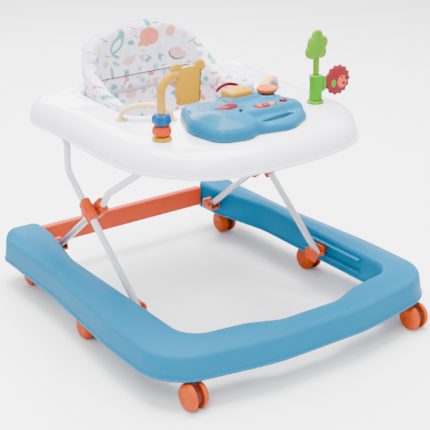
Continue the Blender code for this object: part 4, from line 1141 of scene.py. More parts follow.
# ---------------------------------------------------------------- tray
# (z, inset) from the rim's lower lip to the deck, and from the deck down into the seat opening
TRAY_RIM_KNOTS = ((0.3625, 0.0008), (0.3632, 0.0), (0.3664, 0.0), (0.3672, 0.0005), (0.3676, 0.0020),
                  (0.3700, 0.0028), (0.3770, 0.0046), (0.3850, 0.0088), (0.3920, 0.0148),
                  (0.3975, 0.0230), (0.4015, 0.0320), (0.4040, 0.0420), (0.4050, 0.0520))
MOUTH_KNOTS = ((0.4050, -0.0160), (0.4052, -0.0120), (0.4050, -0.0085), (0.4042, -0.0056),
               (0.4020, -0.0030), (0.3985, -0.0012), (0.3920, 0.0), (0.3805, 0.0))


def rim_narrowing(point):
    """The tray's rim is narrower behind the seat."""
    return 1.0 - 0.45 * smooth_step(0.05, 0.22, point.y)


def make_tray():
    """The tray's moulded shell with its rolled rim and the seat's opening."""
    bm = bmesh.new()
    rim = ring_stack(bm, outline_points(mirrored(TRAY_OUTLINE), 110), TRAY_RIM_KNOTS, rim_narrowing)
    mouth = ring_stack(bm, outline_points(mirrored(OPENING), 90), MOUTH_KNOTS)
    edge = ring_tree(rim[-1], mouth[0])

    def deck(x, y):
        """Level, with a shallow dish round the seat."""
        dish = smooth_step(0.105, 0.150, y) * smooth_step(0.0, 0.009, distance_to(edge, x, y))
        return DECK_Z - 0.0030 * dish
    fill_surface(bm, rim[-1], [mouth[0]], spacing=0.0055, height=deck)
    body = piece("tray_body", bm, "white", "tray", "white_plastic", "tray_shell", recalc=False)
    solidify(body, SHELL_WALL)


def make_tray_fittings():
    """Hinge clamps, slide rails and the height lock under the tray."""
    clamp_profile = oval(TRAY_HINGE.y, TRAY_HINGE.z + 0.0010, 0.0105, 0.0120, 40, 0.55)
    for side, sign in SIDES:
        clamp = side_plate(clamp_profile, 0.124, 0.148, sign, 0.0020)
        piece(f"hinge_clamp_{side}", clamp, "white_part", "tray", "white_plastic",
              f"tray_hinge_clamp_{side}")
        carry_over(f"tray_slide_rail_{side}", "white_part")
    carry_over("height_lock_housing", "white_part")
    carry_over("height_lock_pawl", "orange")
    low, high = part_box("height_lock_pawl")
    tab = block((low.x + 0.0008, low.y - 0.0005, low.z), (high.x - 0.0008, high.y - 0.0008, low.z + 0.0032))
    bevel(piece("height_lock_tab", tab, "coral", "height_lock", "orange_plastic"), 0.0015)


# ---------------------------------------------------------------- seat
PAD_BOTTOM_Z = 0.386
PAD_THICKNESS = 0.0115
PAD_OUTER_INSET = 0.0028
PAD_LEAN = 0.12
PAD_SIDE_Z = 0.414
PAD_BACK_RISE = 0.116
PAD_RISE_START_Y, PAD_RISE_LENGTH = 0.100, 0.146
PAD_HALF_WIDTH = 0.147
CLOTH_FRAMES = 20
SEAM_Z = 0.4180
BOARD_THICKNESS = 0.004
BAG_CENTRE = Vector((0.0, 0.135))
BAG_FLOOR_Z = 0.2638
BAG_CLOTH = 0.0045
# (z, scale of the opening) from the bag's mouth down to its floor
BAG_KNOTS = ((0.3830, 0.958), (0.3650, 0.953), (0.3500, 0.944), (0.3325, 0.922), (0.3150, 0.888),
             (0.3000, 0.838), (0.2850, 0.768), (0.2750, 0.690), (0.2690, 0.600), (0.2655, 0.500),
             (0.2642, 0.390))
LEG_HOLE_RADIUS = 0.043
BINDING_RADIUS = 0.0034


def seat_edge_stations(count):
    """Evenly spaced plan points, with inward normals, round the rear of the seat opening."""
    outline = [p for p in outline_points(mirrored(OPENING), 90) if p.y > 0.045]
    points = along_path(outline, [index / (count - 1) for index in range(count)])
    stations = []
    for index, point in enumerate(points):
        heading = (points[min(index + 2, count - 1)] - points[max(index - 2, 0)]).normalized()
        stations.append((point, Vector((-heading.y, heading.x))))
    return stations


def pad_top(point):
    """Height of the seat's edge: low beside the child, rising to the backrest."""
    rise = max(0.0, (point.y - PAD_RISE_START_Y) / PAD_RISE_LENGTH)
    across = min(1.0, abs(point.x) / PAD_HALF_WIDTH)
    crown = math.sqrt(max(0.0, 1.0 - 0.78 * across ** 2.2))
    return PAD_SIDE_Z + PAD_BACK_RISE * rise ** 1.6 * crown


def pad_thickness(point):
    """Thin behind the child's back, plump in the wings beside it."""
    wing = smooth_step(0.085, 0.138, abs(point.x)) * smooth_step(0.045, 0.130, point.y)
    return PAD_THICKNESS - 0.0024 + 0.0150 * wing


def strip_spot(station, bottom, height, inset, share):
    """A point on an upright strip, which leans outwards as it rises."""
    point, normal = station
    return Vector((*(point + normal * (inset - PAD_LEAN * share * height)), bottom + share * height))


def pad_line(stations, inset, level=None, drop=0.0):
    """A line along the pad, at a level or a drop below its top edge."""
    points = []
    for station in stations:
        height = pad_top(station[0]) - PAD_BOTTOM_Z
        share = 1.0 if level is None else (level - PAD_BOTTOM_Z) / height
        points.append(strip_spot(station, PAD_BOTTOM_Z, height, inset, share) - Vector((0, 0, drop)))
    return points


def upright_strip(stations, bottom, top_of, outer_inset, thickness_of, rows):
    """A wall with a rounded top that stands on the seat opening's rear edge."""
    sections = []
    for station in stations:
        height = top_of(station[0]) - bottom
        thickness = thickness_of(station[0])
        half = thickness / 2
        straight = max(0.2, 1.0 - half / height)
        section = [(0.0, straight * row / rows) for row in range(rows)]
        section += [(half - half * math.cos(a), straight + (1 - straight) * math.sin(a))
                    for a in (math.pi * step / 8 for step in range(9))]
        section += [(thickness, straight * row / rows) for row in reversed(range(rows))]
        sections.append([strip_spot(station, bottom, height, outer_inset + inset, share)
                         for inset, share in section])
    bm = bmesh.new()
    close_ends(bm, loft(bm, sections))
    return bm


def puff(obj, voxel, pressure, cap):
    """Swell a closed shape as padded cloth, let no point move further than the cap, and smooth it."""
    remesh = obj.modifiers.new("Even", "REMESH")
    remesh.mode = "VOXEL"
    remesh.voxel_size = voxel
    remesh.use_smooth_shade = True
    apply_modifiers(obj)
    before = [vertex.co.copy() for vertex in obj.data.vertices]
    cloth = obj.modifiers.new("Cloth", "CLOTH")
    cloth.settings.use_pressure = True
    cloth.settings.uniform_pressure_force = pressure
    cloth.settings.effector_weights.gravity = 0.0
    for frame_number in range(1, CLOTH_FRAMES + 1):
        bpy.context.scene.frame_set(frame_number)
    apply_modifiers(obj)
    bpy.context.scene.frame_set(1)
    for vertex, start in zip(obj.data.vertices, before):
        change = vertex.co - start
        if change.length > cap:
            vertex.co = start + change.normalized() * cap
    smooth = obj.modifiers.new("Smooth", "SUBSURF")
    smooth.levels = smooth.render_levels = 1
    apply_modifiers(obj)
    obj.data.shade_smooth()


def crease(obj, reach, scale, seed):
    """Press long soft wrinkles into cloth."""
    shift = Vector((seed, 2 * seed, 3 * seed))
    normals = [vertex.normal.copy() for vertex in obj.data.vertices]
    for vertex, normal in zip(obj.data.vertices, normals):
        where = Vector((vertex.co.x * scale, vertex.co.y * scale, vertex.co.z * scale * 0.45)) + shift
        vertex.co += normal * (reach * noise.fractal(where, 0.8, 2.0, 3))


def on_surface(points, obj, proud):
    """Move points to the nearest place on a mesh and lift them off it."""
    tree = bvhtree.BVHTree.FromObject(obj, bpy.context.evaluated_depsgraph_get())
    result = []
    for point in points:
        spot, normal, _, _ = tree.find_nearest(point)
        result.append(spot + normal * proud)
    return result


def make_seat():
    """The padded back with its piping, seam, stitches and board, and the hanging bag."""
    stations = seat_edge_stations(150)
    pad = finish_mesh("seat_pad", upright_strip(stations, PAD_BOTTOM_Z, pad_top, PAD_OUTER_INSET + 0.0012,
                                                pad_thickness, 14), LOOK["seat"])
    puff(pad, voxel=0.0040, pressure=4.0, cap=0.0045)
    crease(pad, reach=0.0016, scale=42.0, seed=3.7)
    lay_print(pad)
    place(pad, "tray", "seat_fabric", "seat_back_pad")

    edge = on_surface(pad_line(stations, PAD_OUTER_INSET + 0.0030), pad, proud=0.0002)
    lay_print(piece("seat_edge_piping", sweep(edge, circle(0.0019, 10)), "seat", "tray", "seat_fabric"))
    inner_face = PAD_OUTER_INSET + PAD_THICKNESS
    back = stations[int(0.27 * len(stations)):int(0.73 * len(stations))]
    seam = on_surface(pad_line(back, inner_face, level=SEAM_Z), pad, proud=0.0001)
    piece("seat_lower_seam", sweep(seam, circle(0.0012, 8)), "thread", "tray", "seat_fabric")
    make_stitches(on_surface(pad_line(stations, inner_face, drop=0.0085), pad, proud=0.0002))

    behind = [station for station in stations if abs(station[0].x) < 0.118 and station[0].y > 0.2]
    board = upright_strip(behind, DECK_Z + 0.0012, lambda point: pad_top(point) - 0.012, -0.0082,
                          lambda point: BOARD_THICKNESS, 10)
    piece("backrest_cover", board, "foam", "tray", "white_plastic", "backrest_board")
    make_bag()


def make_stitches(spots):
    """Short stitches along a line of spots on the pad."""
    row = bmesh.new()
    for index in range(2, len(spots) - 2, 2):
        heading = spots[index + 1] - spots[index]
        if heading.length > 1e-6:
            merge(row, sweep([spots[index], spots[index] + heading * 0.8], circle(0.0004, 6)))
    piece("seat_edge_stitches", row, "binding", "tray", "seat_fabric")


def leg_hole_axis(sign):
    """Start and direction of the line along which a leg passes through the bag."""
    start, end = Vector((sign * 0.066, -0.05, 0.262)), Vector((sign * 0.050, 0.13, 0.335))
    return start, end - start


def make_bag():
    """The hanging cloth seat, cut for the legs."""
    points = resampled(outline_points(mirrored(OPENING), 90), 0.0048)
    levels = curve_levels(BAG_KNOTS, 3) + [(BAG_FLOOR_Z, scale) for scale in (0.30, 0.20, 0.10)]
    bm = bmesh.new()
    rings = loft(bm, ([(*BAG_CENTRE.lerp(point, scale), z) for point in points] for z, scale in levels),
                 flipped=True)
    bm.faces.new(reversed(rings[-1]))
    bag = finish_mesh("seat_sling", bm, LOOK["seat"], recalc=False)
    solidify(bag, BAG_CLOTH)
    cutters = []
    for side, sign in SIDES:
        start, along = leg_hole_axis(sign)
        bore = turned(rod(LEG_HOLE_RADIUS, 0.0, along.length), 64)
        moved(bore, Matrix.Translation(start) @ along.to_track_quat("Z", "Y").to_matrix().to_4x4())
        cutters.append(finish_mesh(f"leg_hole_{side}", bore, LOOK["seat"]))
        hole = bag.modifiers.new("Leg hole", "BOOLEAN")
        hole.operation = "DIFFERENCE"
        hole.solver = "EXACT"
        hole.object = cutters[-1]
    apply_modifiers(bag)
    rims = leg_hole_rims(bag)
    for cutter in cutters:
        bpy.data.objects.remove(cutter, do_unlink=True)
    bag.data.shade_smooth()
    bag.data.set_sharp_from_angle(angle=math.radians(40))
    crease(bag, reach=0.0014, scale=30.0, seed=9.1)
    lay_print(bag)
    place(bag, "tray", "seat_fabric", "seat_bag")
    for index, line in enumerate(rims):
        binding = sweep(line + line[:2], circle(BINDING_RADIUS, 12))
        piece(f"leg_hole_binding_{index}", binding, "binding", "tray", "seat_fabric")


def leg_hole_rims(bag):
    """Closed lines along the middle of the cloth's cut edge round each leg hole."""
    lines = []
    tree = bvhtree.BVHTree.FromObject(bag, bpy.context.evaluated_depsgraph_get())
    for _, sign in SIDES:
        start, axis = leg_hole_axis(sign)
        turn = axis.to_track_quat("Z", "Y").to_matrix()
        along = axis.normalized()
        line = []
        for step in range(72):
            angle = math.tau * step / 72
            reach = LEG_HOLE_RADIUS + 0.0015
            arm = turn @ Vector((reach * math.cos(angle), reach * math.sin(angle), 0.0))
            spot, _, _, _ = tree.ray_cast(start + arm, along)
            if spot is not None and (spot - start).length < 0.17:
                line.append(spot - arm.normalized() * 0.0012 + along * 0.0020)
        if len(line) > 40:
            lines.append(line)
    return lines


# ---------------------------------------------------------------- activity panel
VIEW_RIGHT = Vector((0.82, -0.57))          # across the panel, as seen from the front left
VIEW_AWAY = Vector((0.57, 0.82))
BUTTON_FOOT_Z = 0.4135
MOUTH_BOTTOM_Z = 0.4215
SLOT_BOTTOM_Z = 0.4060
DIAL_HUB_RADIUS = 0.0075
# (z, inset) up the panel's side
PANEL_KNOTS = ((0.4056, 0.0008), (0.4062, 0.0), (0.4110, 0.0002), (0.4165, 0.0010), (0.4210, 0.0026),
               (0.4245, 0.0048), (0.4270, 0.0074), (0.4285, 0.0098), (0.4294, 0.0120))


def bump_at(x, y, centre, half_x, half_y):
    """1 at the centre of an ellipse, falling smoothly to 0 at its edge."""
    reach = math.hypot((x - centre[0]) / half_x, (y - centre[1]) / half_y)
    return 1.0 - smooth_step(0.0, 1.0, reach)


def box_reach(x, y, centre_x, centre_y, half_x, half_y):
    """Distance outside a rectangle; 0 inside it."""
    return math.hypot(max(0.0, abs(x - centre_x) - half_x), max(0.0, abs(y - centre_y) - half_y))


def arc_groove(spot, centre, half_length, sag, width):
    """1 along an arc that curves away from the viewer, falling to 0 beside it."""
    offset = spot - Vector(centre)
    along, away = offset.dot(VIEW_RIGHT), offset.dot(VIEW_AWAY)
    share = along / half_length
    if abs(share) > 1.25:
        return 0.0
    line = sag * (1 - share * share)
    return math.exp(-((away - line) / width) ** 2) * (1 - smooth_step(0.75, 1.15, abs(share)))


def panel_surface(edge):
    """Height of the panel's top: a domed head at the left, a lower handle at the right."""
    yellow_x, yellow_y, yellow_width, yellow_depth, _ = YELLOW_BUTTON
    red_x, red_y, red_half_x, red_half_y, _ = RED_BUTTON
    dial_x, dial_y, dial_radius = DIAL
    slot_start, slot_end = Vector(HANDLE_SLOT[0]), Vector(HANDLE_SLOT[1])
    slot_line = slot_end - slot_start

    def height(x, y):
        spot = Vector((x, y))
        from_edge = distance_to(edge, x, y)
        reach = smooth_step(0.0, 0.018, from_edge)
        # the dome of the head, with a level place for the red key
        head = bump_at(x, y, (-0.076, -0.138), 0.078, 0.084)
        rise = 0.0026 * math.sin(min(1.0, from_edge / 0.016) * math.pi / 2) - 0.0026
        rise += 0.0100 * head * smooth_step(-0.004, 0.030, from_edge)
        dish = 1 - smooth_step(1.10, 1.75, math.hypot((x - red_x) / red_half_x, (y - red_y) / red_half_y))
        rise += (0.0030 - rise) * dish
        # a collar round the yellow key, and a lipped cup round the dial
        collar = box_reach(x, y, yellow_x - 0.003, yellow_y, yellow_width / 2 + 0.003,
                           yellow_depth / 2 + 0.001)
        rise += 0.0050 * (1 - smooth_step(0.0030, 0.0110, collar)) * reach
        cup = math.hypot(x - dial_x, y - dial_y)
        rise += 0.0022 * math.exp(-((cup - dial_radius - 0.0045) / 0.0026) ** 2)
        rise -= 0.0030 * (1 - smooth_step(dial_radius - 0.003, dial_radius + 0.003, cup))
        # the handle, the hollow round its slot and the groove beside it
        handle = smooth_step(-0.024, -0.012, x) * (1 - smooth_step(-0.150, -0.143, y))
        rise -= 0.0030 * handle * reach
        share = min(1.0, max(0.0, (spot - slot_start).dot(slot_line) / slot_line.length_squared))
        gap = (spot - slot_start - slot_line * share).length
        rise -= 0.0034 * (1 - smooth_step(0.0085, 0.0115, gap)) * reach
        groove = math.exp(-(((x - 0.018) + 0.26 * (y + 0.150) + 0.030) / 0.0022) ** 2)
        rise -= 0.0022 * groove * (1 - smooth_step(-0.160, -0.146, y)) * reach
        # two raised brows on the head
        rise += 0.0011 * arc_groove(spot, (-0.073, -0.082), 0.021, 0.007, 0.0020)
        rise += 0.0009 * arc_groove(spot, (-0.060, -0.060), 0.017, 0.006, 0.0018)
        return PANEL_TOP_Z + rise
    return height


def lower_handle(bm):
    """Squash the front right of the panel, so that the handle lies a step below the head."""
    foot = PANEL_KNOTS[0][0]
    squash = 0.32
    for vertex in bm.verts:
        x, y, z = vertex.co
        share = smooth_step(-0.024, -0.006, x) * (1 - smooth_step(-0.149, -0.137, y))
        vertex.co.z = foot + (z - foot) * (1.0 - squash * share)


def panel_mouths():
    """Outline and lower end of each opening in the panel's top."""
    yellow_x, yellow_y, yellow_width, yellow_depth, _ = YELLOW_BUTTON
    red_x, red_y, red_half_x, red_half_y, _ = RED_BUTTON
    small_x, small_y, small_radius, _ = SMALL_BUTTON
    window_width, window_depth = 3 * ROLLER_PITCH + 0.0024, 2 * ROLLER_RADIUS + 0.0020
    mouths = (rectangle(yellow_x, yellow_y, yellow_width + 0.0012, yellow_depth + 0.0012, 0.006),
              oval(red_x, red_y, red_half_x + 0.0006, red_half_y + 0.0006),
              circle(small_radius + 0.0005, 28, small_x, small_y),
              circle(DIAL_HUB_RADIUS, 28, DIAL[0], DIAL[1]),
              rectangle(ROLLER_MIDDLE.x, ROLLER_MIDDLE.y, window_width, window_depth, 0.0025))
    return [(mouth, MOUTH_BOTTOM_Z) for mouth in mouths] + [(capsule(*HANDLE_SLOT), SLOT_BOTTOM_Z)]


def make_panel():
    """The play panel's housing, with its eye and the red trim behind the yellow key."""
    bm = bmesh.new()
    walls = ring_stack(bm, resampled(outline_points(PANEL_OUTLINE, 90), 0.0030), PANEL_KNOTS)
    holes = [ring_stack(bm, points, ((PANEL_TOP_Z, -0.0009), (PANEL_TOP_Z - 0.0052, -0.0002),
                                     (PANEL_TOP_Z - 0.0062, 0.0), (bottom, 0.0)))[0]
             for points, bottom in panel_mouths()]
    fill_surface(bm, walls[-1], holes, spacing=0.0023, height=panel_surface(ring_tree(walls[-1])))
    lower_handle(bm)
    solidify(piece("panel_body", bm, "panel_blue", "tray", "blue_plastic", "panel_housing",
                   sharp_angle=50, recalc=False), PANEL_WALL)
    carry_over("panel_floor_plate", "white_part")

    eye = turned(((0.0, 0.4360), (0.0026, 0.4360), (0.0030, 0.4395), (0.0022, 0.4405), (0.0, 0.4408)), 28,
                 centre=(-0.027, -0.137, -0.0005))
    piece("panel_eye", eye, "black", "tray", "blue_plastic")
    x, y, width, depth, _ = YELLOW_BUTTON
    arch = [Vector((x + width * (t - 0.55), y + depth / 2 + 0.0052 + 0.001 * math.sin(math.pi * t),
                    0.4392 + 0.0105 * math.sin(math.pi * t) ** 0.6)) for t in (s / 30 for s in range(31))]
    trim = sweep(arch, oval(0, 0, 0.0016, 0.0030, 24, 0.6), roll=Vector((0, 1, 0)))
    piece("panel_red_trim", trim, "red", "tray", "blue_plastic")


def make_buttons():
    """The yellow, the red and the small key."""
    x, y, width, depth, top = YELLOW_BUTTON

    def yellow_top(px, py):
        """A crowned key with a raised, ribbed field."""
        across, deep = (px - x) / (width / 2), (py - y) / (depth / 2)
        crown = top - 0.0014 * across * across - 0.0010 * deep * deep
        border = box_reach(px, py, x, y, width / 2 - 0.0100, depth / 2 - 0.0100)
        relief = 0.0010 * (1 - smooth_step(0.0, 0.0018, border))
        wave = math.sin((px - x) * 520.0) * (1 - smooth_step(0.0, 0.001, border))
        ribs = 0.0005 * wave * (1 - smooth_step(0.0055, 0.0080, abs(py - y)))
        return crown - 0.0014 + relief + ribs
    levels = ((BUTTON_FOOT_Z, 0.0), (top - 0.0085, 0.0), (top - 0.0060, 0.0003), (top - 0.0040, 0.0014),
              (top - 0.0027, 0.0032), (top - 0.0024, 0.0056))
    outline = resampled(rectangle(x, y, width, depth, 0.0080), 0.0020)
    key = topped(outline, levels, spacing=0.0013, height=yellow_top)
    piece("yellow_key", key, "yellow", "yellow_button", "yellow_plastic", "yellow_button")

    red_x, red_y, half_x, half_y, red_top = RED_BUTTON

    def red_crown(px, py):
        reach = math.hypot((px - red_x) / (half_x - 0.002), (py - red_y) / (half_y - 0.002))
        return max(red_top, red_top + 0.0030 * (1 - reach ** 2))
    levels = ((BUTTON_FOOT_Z, 0.0), (red_top - 0.0016, 0.0), (red_top - 0.0007, 0.0005),
              (red_top - 0.0001, 0.0014), (red_top, 0.0026))
    key = topped(oval(red_x, red_y, half_x, half_y, 60), levels, spacing=0.0016, height=red_crown)
    piece("red_key", key, "red", "red_button", "red_plastic", "red_button")

    x, y, radius, small_top = SMALL_BUTTON
    profile = ((0.0, BUTTON_FOOT_Z), (radius, BUTTON_FOOT_Z), (radius, small_top - 0.0004),
               (radius - 0.0024, small_top + 0.0012), (0.0, small_top + 0.0018))
    piece("small_key", turned(rounded_profile(profile, 0.0012), 40, centre=(x, y, 0)), "dark_red_gloss",
          "small_button", "red_plastic", "small_button")


def make_dial():
    """A spinning bowl with a scalloped lip."""
    x, y, radius = DIAL
    profile = ((0.0, -0.0080), (0.0070, -0.0080), (0.0070, -0.0010), (0.0120, -0.0006),
               (radius - 0.0030, 0.0020), (radius - 0.0004, 0.0058), (radius, 0.0085),
               (radius - 0.0010, 0.0110), (radius - 0.0040, 0.0122), (radius - 0.0070, 0.0104),
               (0.0050, 0.0098), (0.0044, 0.0112), (0.0, 0.0116))
    dial = turned(rounded_profile(profile, 0.0014), 72, centre=(x, y, PANEL_TOP_Z), lobes=9, depth=0.012)
    piece("dial_bowl", dial, "coral", "dial", "coral_plastic", "spinner_dial")


def make_rollers():
    """Three lobed beads on a shaft in the panel's window."""
    carry_over("roller_shaft", "steel")
    half_width = 0.00620
    flank = ((0.0, half_width), (0.0040, half_width), (0.0068, half_width - 0.0006),
             (0.0083, half_width - 0.0026), (0.0086, 0.0010))
    profile = rounded_profile([(r, -across) for r, across in flank] + list(reversed(flank)), 0.0006)
    for index, colour in enumerate(("orange", "pink", "yellow")):
        centre = ROLLER_MIDDLE + Vector(((index - 1) * ROLLER_PITCH, 0, 0))
        bead = turned(profile, 80, "X", centre, lobes=8, depth=0.045)
        piece(f"roller_{colour}", bead, colour, f"roller_{colour}", f"{colour}_plastic",
              f"roller_bead_{colour}")


# ---------------------------------------------------------------- grips and tray toys
# one side of a grip's section: an outer face with rounded edges, hollow on the inner face
GRIP_HALF_BAND = ((0.0088, -0.0008), (0.0084, -0.0028), (0.0072, -0.0042), (0.0044, -0.0049))
GRIP_HALF_HOLLOW = ((-0.0086, 0.0016), (-0.0077, 0.0023), (-0.0062, 0.0023), (-0.0055, 0.0010))
GRIP_RISE = 0.0270
GRIP_OUTER_FOOT = (0.172, 0.026)
GRIP_INNER_FOOT = (0.100, -0.026)
GRIP_FLANGE_RADIUS = 0.0105


ARM_RADIUS = 0.0073
ARM_PIN_RADIUS = 0.0055       # inside the beads
HEDGEHOG_OFFSET = Vector((0.0520, 0.0, 0.0350))     # from the post's foot


def mirrored_pairs(half):
    return [(-a, b) for a, b in reversed(half)]


def make_grips():
    """Two cream arches beside the seat, to hold on to, with painted grey shade on their inner faces."""
    band = [*GRIP_HALF_BAND, (0.0, -0.0050), *mirrored_pairs(GRIP_HALF_BAND),
            *GRIP_HALF_HOLLOW, *mirrored_pairs(GRIP_HALF_HOLLOW)]
    up = Vector((0, 0, 1))
    for side, sign in SIDES:
        outer = Vector((sign * GRIP_OUTER_FOOT[0], GRIP_OUTER_FOOT[1], DECK_Z))
        inner = Vector((sign * GRIP_INNER_FOOT[0], GRIP_INNER_FOOT[1], DECK_Z))
        middle = (outer + inner) / 2
        path = []
        for step in range(49):
            angle = math.pi * step / 48
            lift = 0.0006 + math.sin(angle) ** 0.7 * GRIP_RISE
            path.append(outer.lerp(inner, 0.5 - 0.5 * math.cos(angle)) + up * lift)
        grip = sweep(path, band, roll=(inner - outer).cross(up).normalized())
        for foot in (outer, inner):
            flange = oval(foot.x, foot.y, GRIP_FLANGE_RADIUS, GRIP_FLANGE_RADIUS, 32, power=0.9)
            merge(grip, pillow(flange, DECK_Z + 0.0003, DECK_Z + 0.0028, 0.0010, 3))
        made = finish_mesh(f"grip_{side}", grip, (LOOK["cream"], LOOK["grip_painted_shade"]))
        # faces that turn towards the arch's middle take the grey: painted shade on the grip's inner side
        for polygon in made.data.polygons:
            inward = (middle - polygon.center).normalized()
            if polygon.normal.dot(inward) > 0.6 and polygon.center.z > DECK_Z + 0.004:
                polygon.material_index = 1
        place(made, "tray", "cream_plastic", f"tray_grip_{side}")


def make_arm_toy():
    """A curved yellow arm on a round base, with two beads on it and a plate at its end."""
    x, y, z = ARM_TOY
    base = turned(rounded_profile(((0.0, 0.0004), (0.0168, 0.0004), (0.0176, 0.0030), (0.0160, 0.0058),
                                   (0.0090, 0.0072), (0.0, 0.0072)), 0.0012), 64, centre=(x, y, z))
    pin = sweep([Vector((x, y, z + 0.004)), Vector((x, y, z + 0.050))], circle(ARM_PIN_RADIUS, 24))
    arm = sweep(bent_path([(Vector((x, y, z + 0.0476)), 0.0), (Vector((x - 0.001, y, 0.5105)), 0.032),
                           (Vector((-0.1420, y, 0.5160)), 0.0)], 20), circle(ARM_RADIUS, 28))
    tip = turned(rounded_profile(rod(0.0062, -0.1440, -0.1400), 0.0008), 24, "X", (0, y, 0.5170))
    piece("arm_toy", merge(base, pin, arm, tip), "yellow", "tray", "yellow_plastic", "arm_toy_stand")
    beads = (("orange", "orange", 0.0078, 0.0262), ("blue", "deep_blue", 0.0266, 0.0470))
    for colour, look, low, high in beads:
        middle, half_height = (low + high) / 2, (high - low) / 2
        profile = [(0.0, low + 0.0010), (0.0066, low + 0.0010)]
        profile += [(0.0080 + 0.0092 * math.cos(a) ** 0.6, middle + half_height * math.sin(a))
                    for a in (math.pi * (step / 16 - 0.5) for step in range(1, 16))]
        profile += [(0.0066, high - 0.0010), (0.0, high - 0.0010)]
        bead = turned(profile, 96, centre=(x, y, z), lobes=7, depth=0.055)
        piece(f"bead_{colour}", bead, look, f"bead_{colour}", f"{look}_plastic", f"stacking_bead_{colour}")


def plate_outline(half_width, half_height, ripple):
    """A plate with two wavy sides, a little narrower at the foot."""
    points = []
    steps, waves = 64, 4
    for sign in (1, -1):
        for step in range(steps + 1):
            climb = step / steps if sign > 0 else 1 - step / steps
            wave = ripple * math.cos(math.tau * waves * climb)
            reach = half_width * (1.0 - 0.10 * (1 - climb)) + wave
            corner = 0.006 * (smooth_step(0.90, 1.0, abs(2 * climb - 1)))
            points.append(Vector((sign * (reach - corner), -half_height + 2 * half_height * climb)))
    return points


def make_plate():
    """A flat plate with wavy sides and two round ears, standing in the XZ plane."""
    parts = [(plate_outline(0.0260, 0.0330, 0.0016), 0.0036, 0.0014),
             (plate_outline(0.0205, 0.0275, 0.0010), 0.0042, 0.0010)]
    for sign in (-1, 1):
        parts += [(circle(0.0105, 44, sign * 0.0235, 0.0310), 0.0034, 0.0014),
                  (circle(0.0060, 44, sign * 0.0235, 0.0310), 0.0040, 0.0010)]
    plate = merge(*(facing_plate(outline, PLATE_CENTRE, half_depth, edge)
                    for outline, half_depth, edge in parts))
    piece("swing_card", plate, "yellow", "plate", "yellow_plastic", "swing_plate")


# the tree's leaf lobes: x, z, radius; and its veins: start x, z, end x, z; x from the post
TREE_LOBES = ((0.000, 0.512, 0.0200), (-0.011, 0.503, 0.0135), (0.012, 0.518, 0.0125),
              (0.001, 0.531, 0.0118), (0.011, 0.500, 0.0115), (-0.009, 0.521, 0.0110))
TREE_VEINS = ((0.0, 0.494, 0.001, 0.536), (0.0, 0.502, -0.013, 0.508), (0.0, 0.500, 0.014, 0.505),
              (0.0, 0.512, 0.013, 0.521), (0.0, 0.515, -0.010, 0.525), (0.0, 0.524, 0.006, 0.532))


def make_tree_post():
    """A green post with a flat tree on top."""
    x, y, z = POST_TOY
    profile = ((0.0, z + 0.0004), (0.0160, z + 0.0004), (0.0163, z + 0.0036), (0.0135, z + 0.0052),
               (0.0062, z + 0.0060), (0.0056, z + 0.0540), (0.0060, 0.4900), (0.0, 0.4900))
    post = turned(rounded_profile(profile), 56, centre=(x, y, 0))
    foliage = [facing_plate(circle(radius, 56, dx, lobe_z), (x, y, 0), 0.0054 - 0.0004 * index, 0.0030, 6)
               for index, (dx, lobe_z, radius) in enumerate(TREE_LOBES)]
    piece("tree_post_toy", merge(post, *foliage), "green", "tray", "green_plastic", "tree_post")
    veins = [facing_plate(capsule(vein[:2], vein[2:], 0.0010, 8), (x, y, 0), 0.0061, 0.0005, 3)
             for vein in TREE_VEINS]
    piece("tree_leaf_veins", merge(bmesh.new(), *veins), "leaf", "tray", "green_plastic")


def make_sleeve():
    """A sleeve round the post that carries a round hedgehog plate."""
    x, y, z = POST_TOY
    low, high, radius, bore = z + 0.0060, z + 0.0530, 0.0125, 0.0066
    profile = ((bore, low), (bore, low), (radius - 0.0010, low), (radius, low + 0.0012),
               (radius - 0.0006, low + 0.012), (radius - 0.0006, high - 0.012), (radius, high - 0.0012),
               (radius - 0.0014, high), (bore, high), (bore, high))
    sleeve = turned(rounded_profile(profile, 0.0008), 56, centre=(x, y, 0))
    tab = ((0.0080, 0.0150), (0.0228, 0.0220), (0.0228, 0.0470), (0.0080, 0.0510))
    tab = resampled([Vector(corner) for corner in tab], 0.0016)
    merge(sleeve, facing_plate(tab, POST_TOY, 0.0030, 0.0012, 3))
    piece("sleeve_body", sleeve, "leaf", "sleeve", "green_plastic", "spinning_sleeve")

    centre = POST_TOY + HEDGEHOG_OFFSET
    spikes, steps = 14, 12
    outline = []
    for step in range(spikes * steps):
        angle = math.tau * step / (spikes * steps)
        tip = abs(2 * ((step / steps) % 1.0) - 1)
        reach = 0.0262 + 0.0036 * tip ** 1.3
        outline.append(Vector((reach * math.cos(angle), reach * math.sin(angle))))
    quills = merge(facing_plate(outline, centre, 0.0026, 0.0010, 3),
                   facing_plate(circle(0.0235, 64), centre, 0.0034, 0.0012, 4))
    piece("hedgehog_quills", quills, "hedgehog", "sleeve", "coral_red_plastic", "hedgehog_disc")
    details = (    # name, x, z, half width, half height, half depth, look
        ("face", 0.0090, -0.0040, 0.0110, 0.0120, 0.0037, "coral"),
        ("cheek", 0.0130, -0.0075, 0.0034, 0.0034, 0.0042, "red"),
        ("nose", 0.0180, 0.0010, 0.0026, 0.0026, 0.0042, "black"),
        ("eye", 0.0085, 0.0045, 0.0020, 0.0024, 0.0042, "black"),
        ("belly", -0.0110, -0.0050, 0.0055, 0.0075, 0.0037, "leaf"))
    for name, dx, dz, half_x, half_z, half_depth, look in details:
        spot = facing_plate(oval(dx, dz, half_x, half_z, 36), centre, half_depth, 0.0008, 3)
        piece(f"hedgehog_{name}", spot, look, "sleeve", "coral_red_plastic")


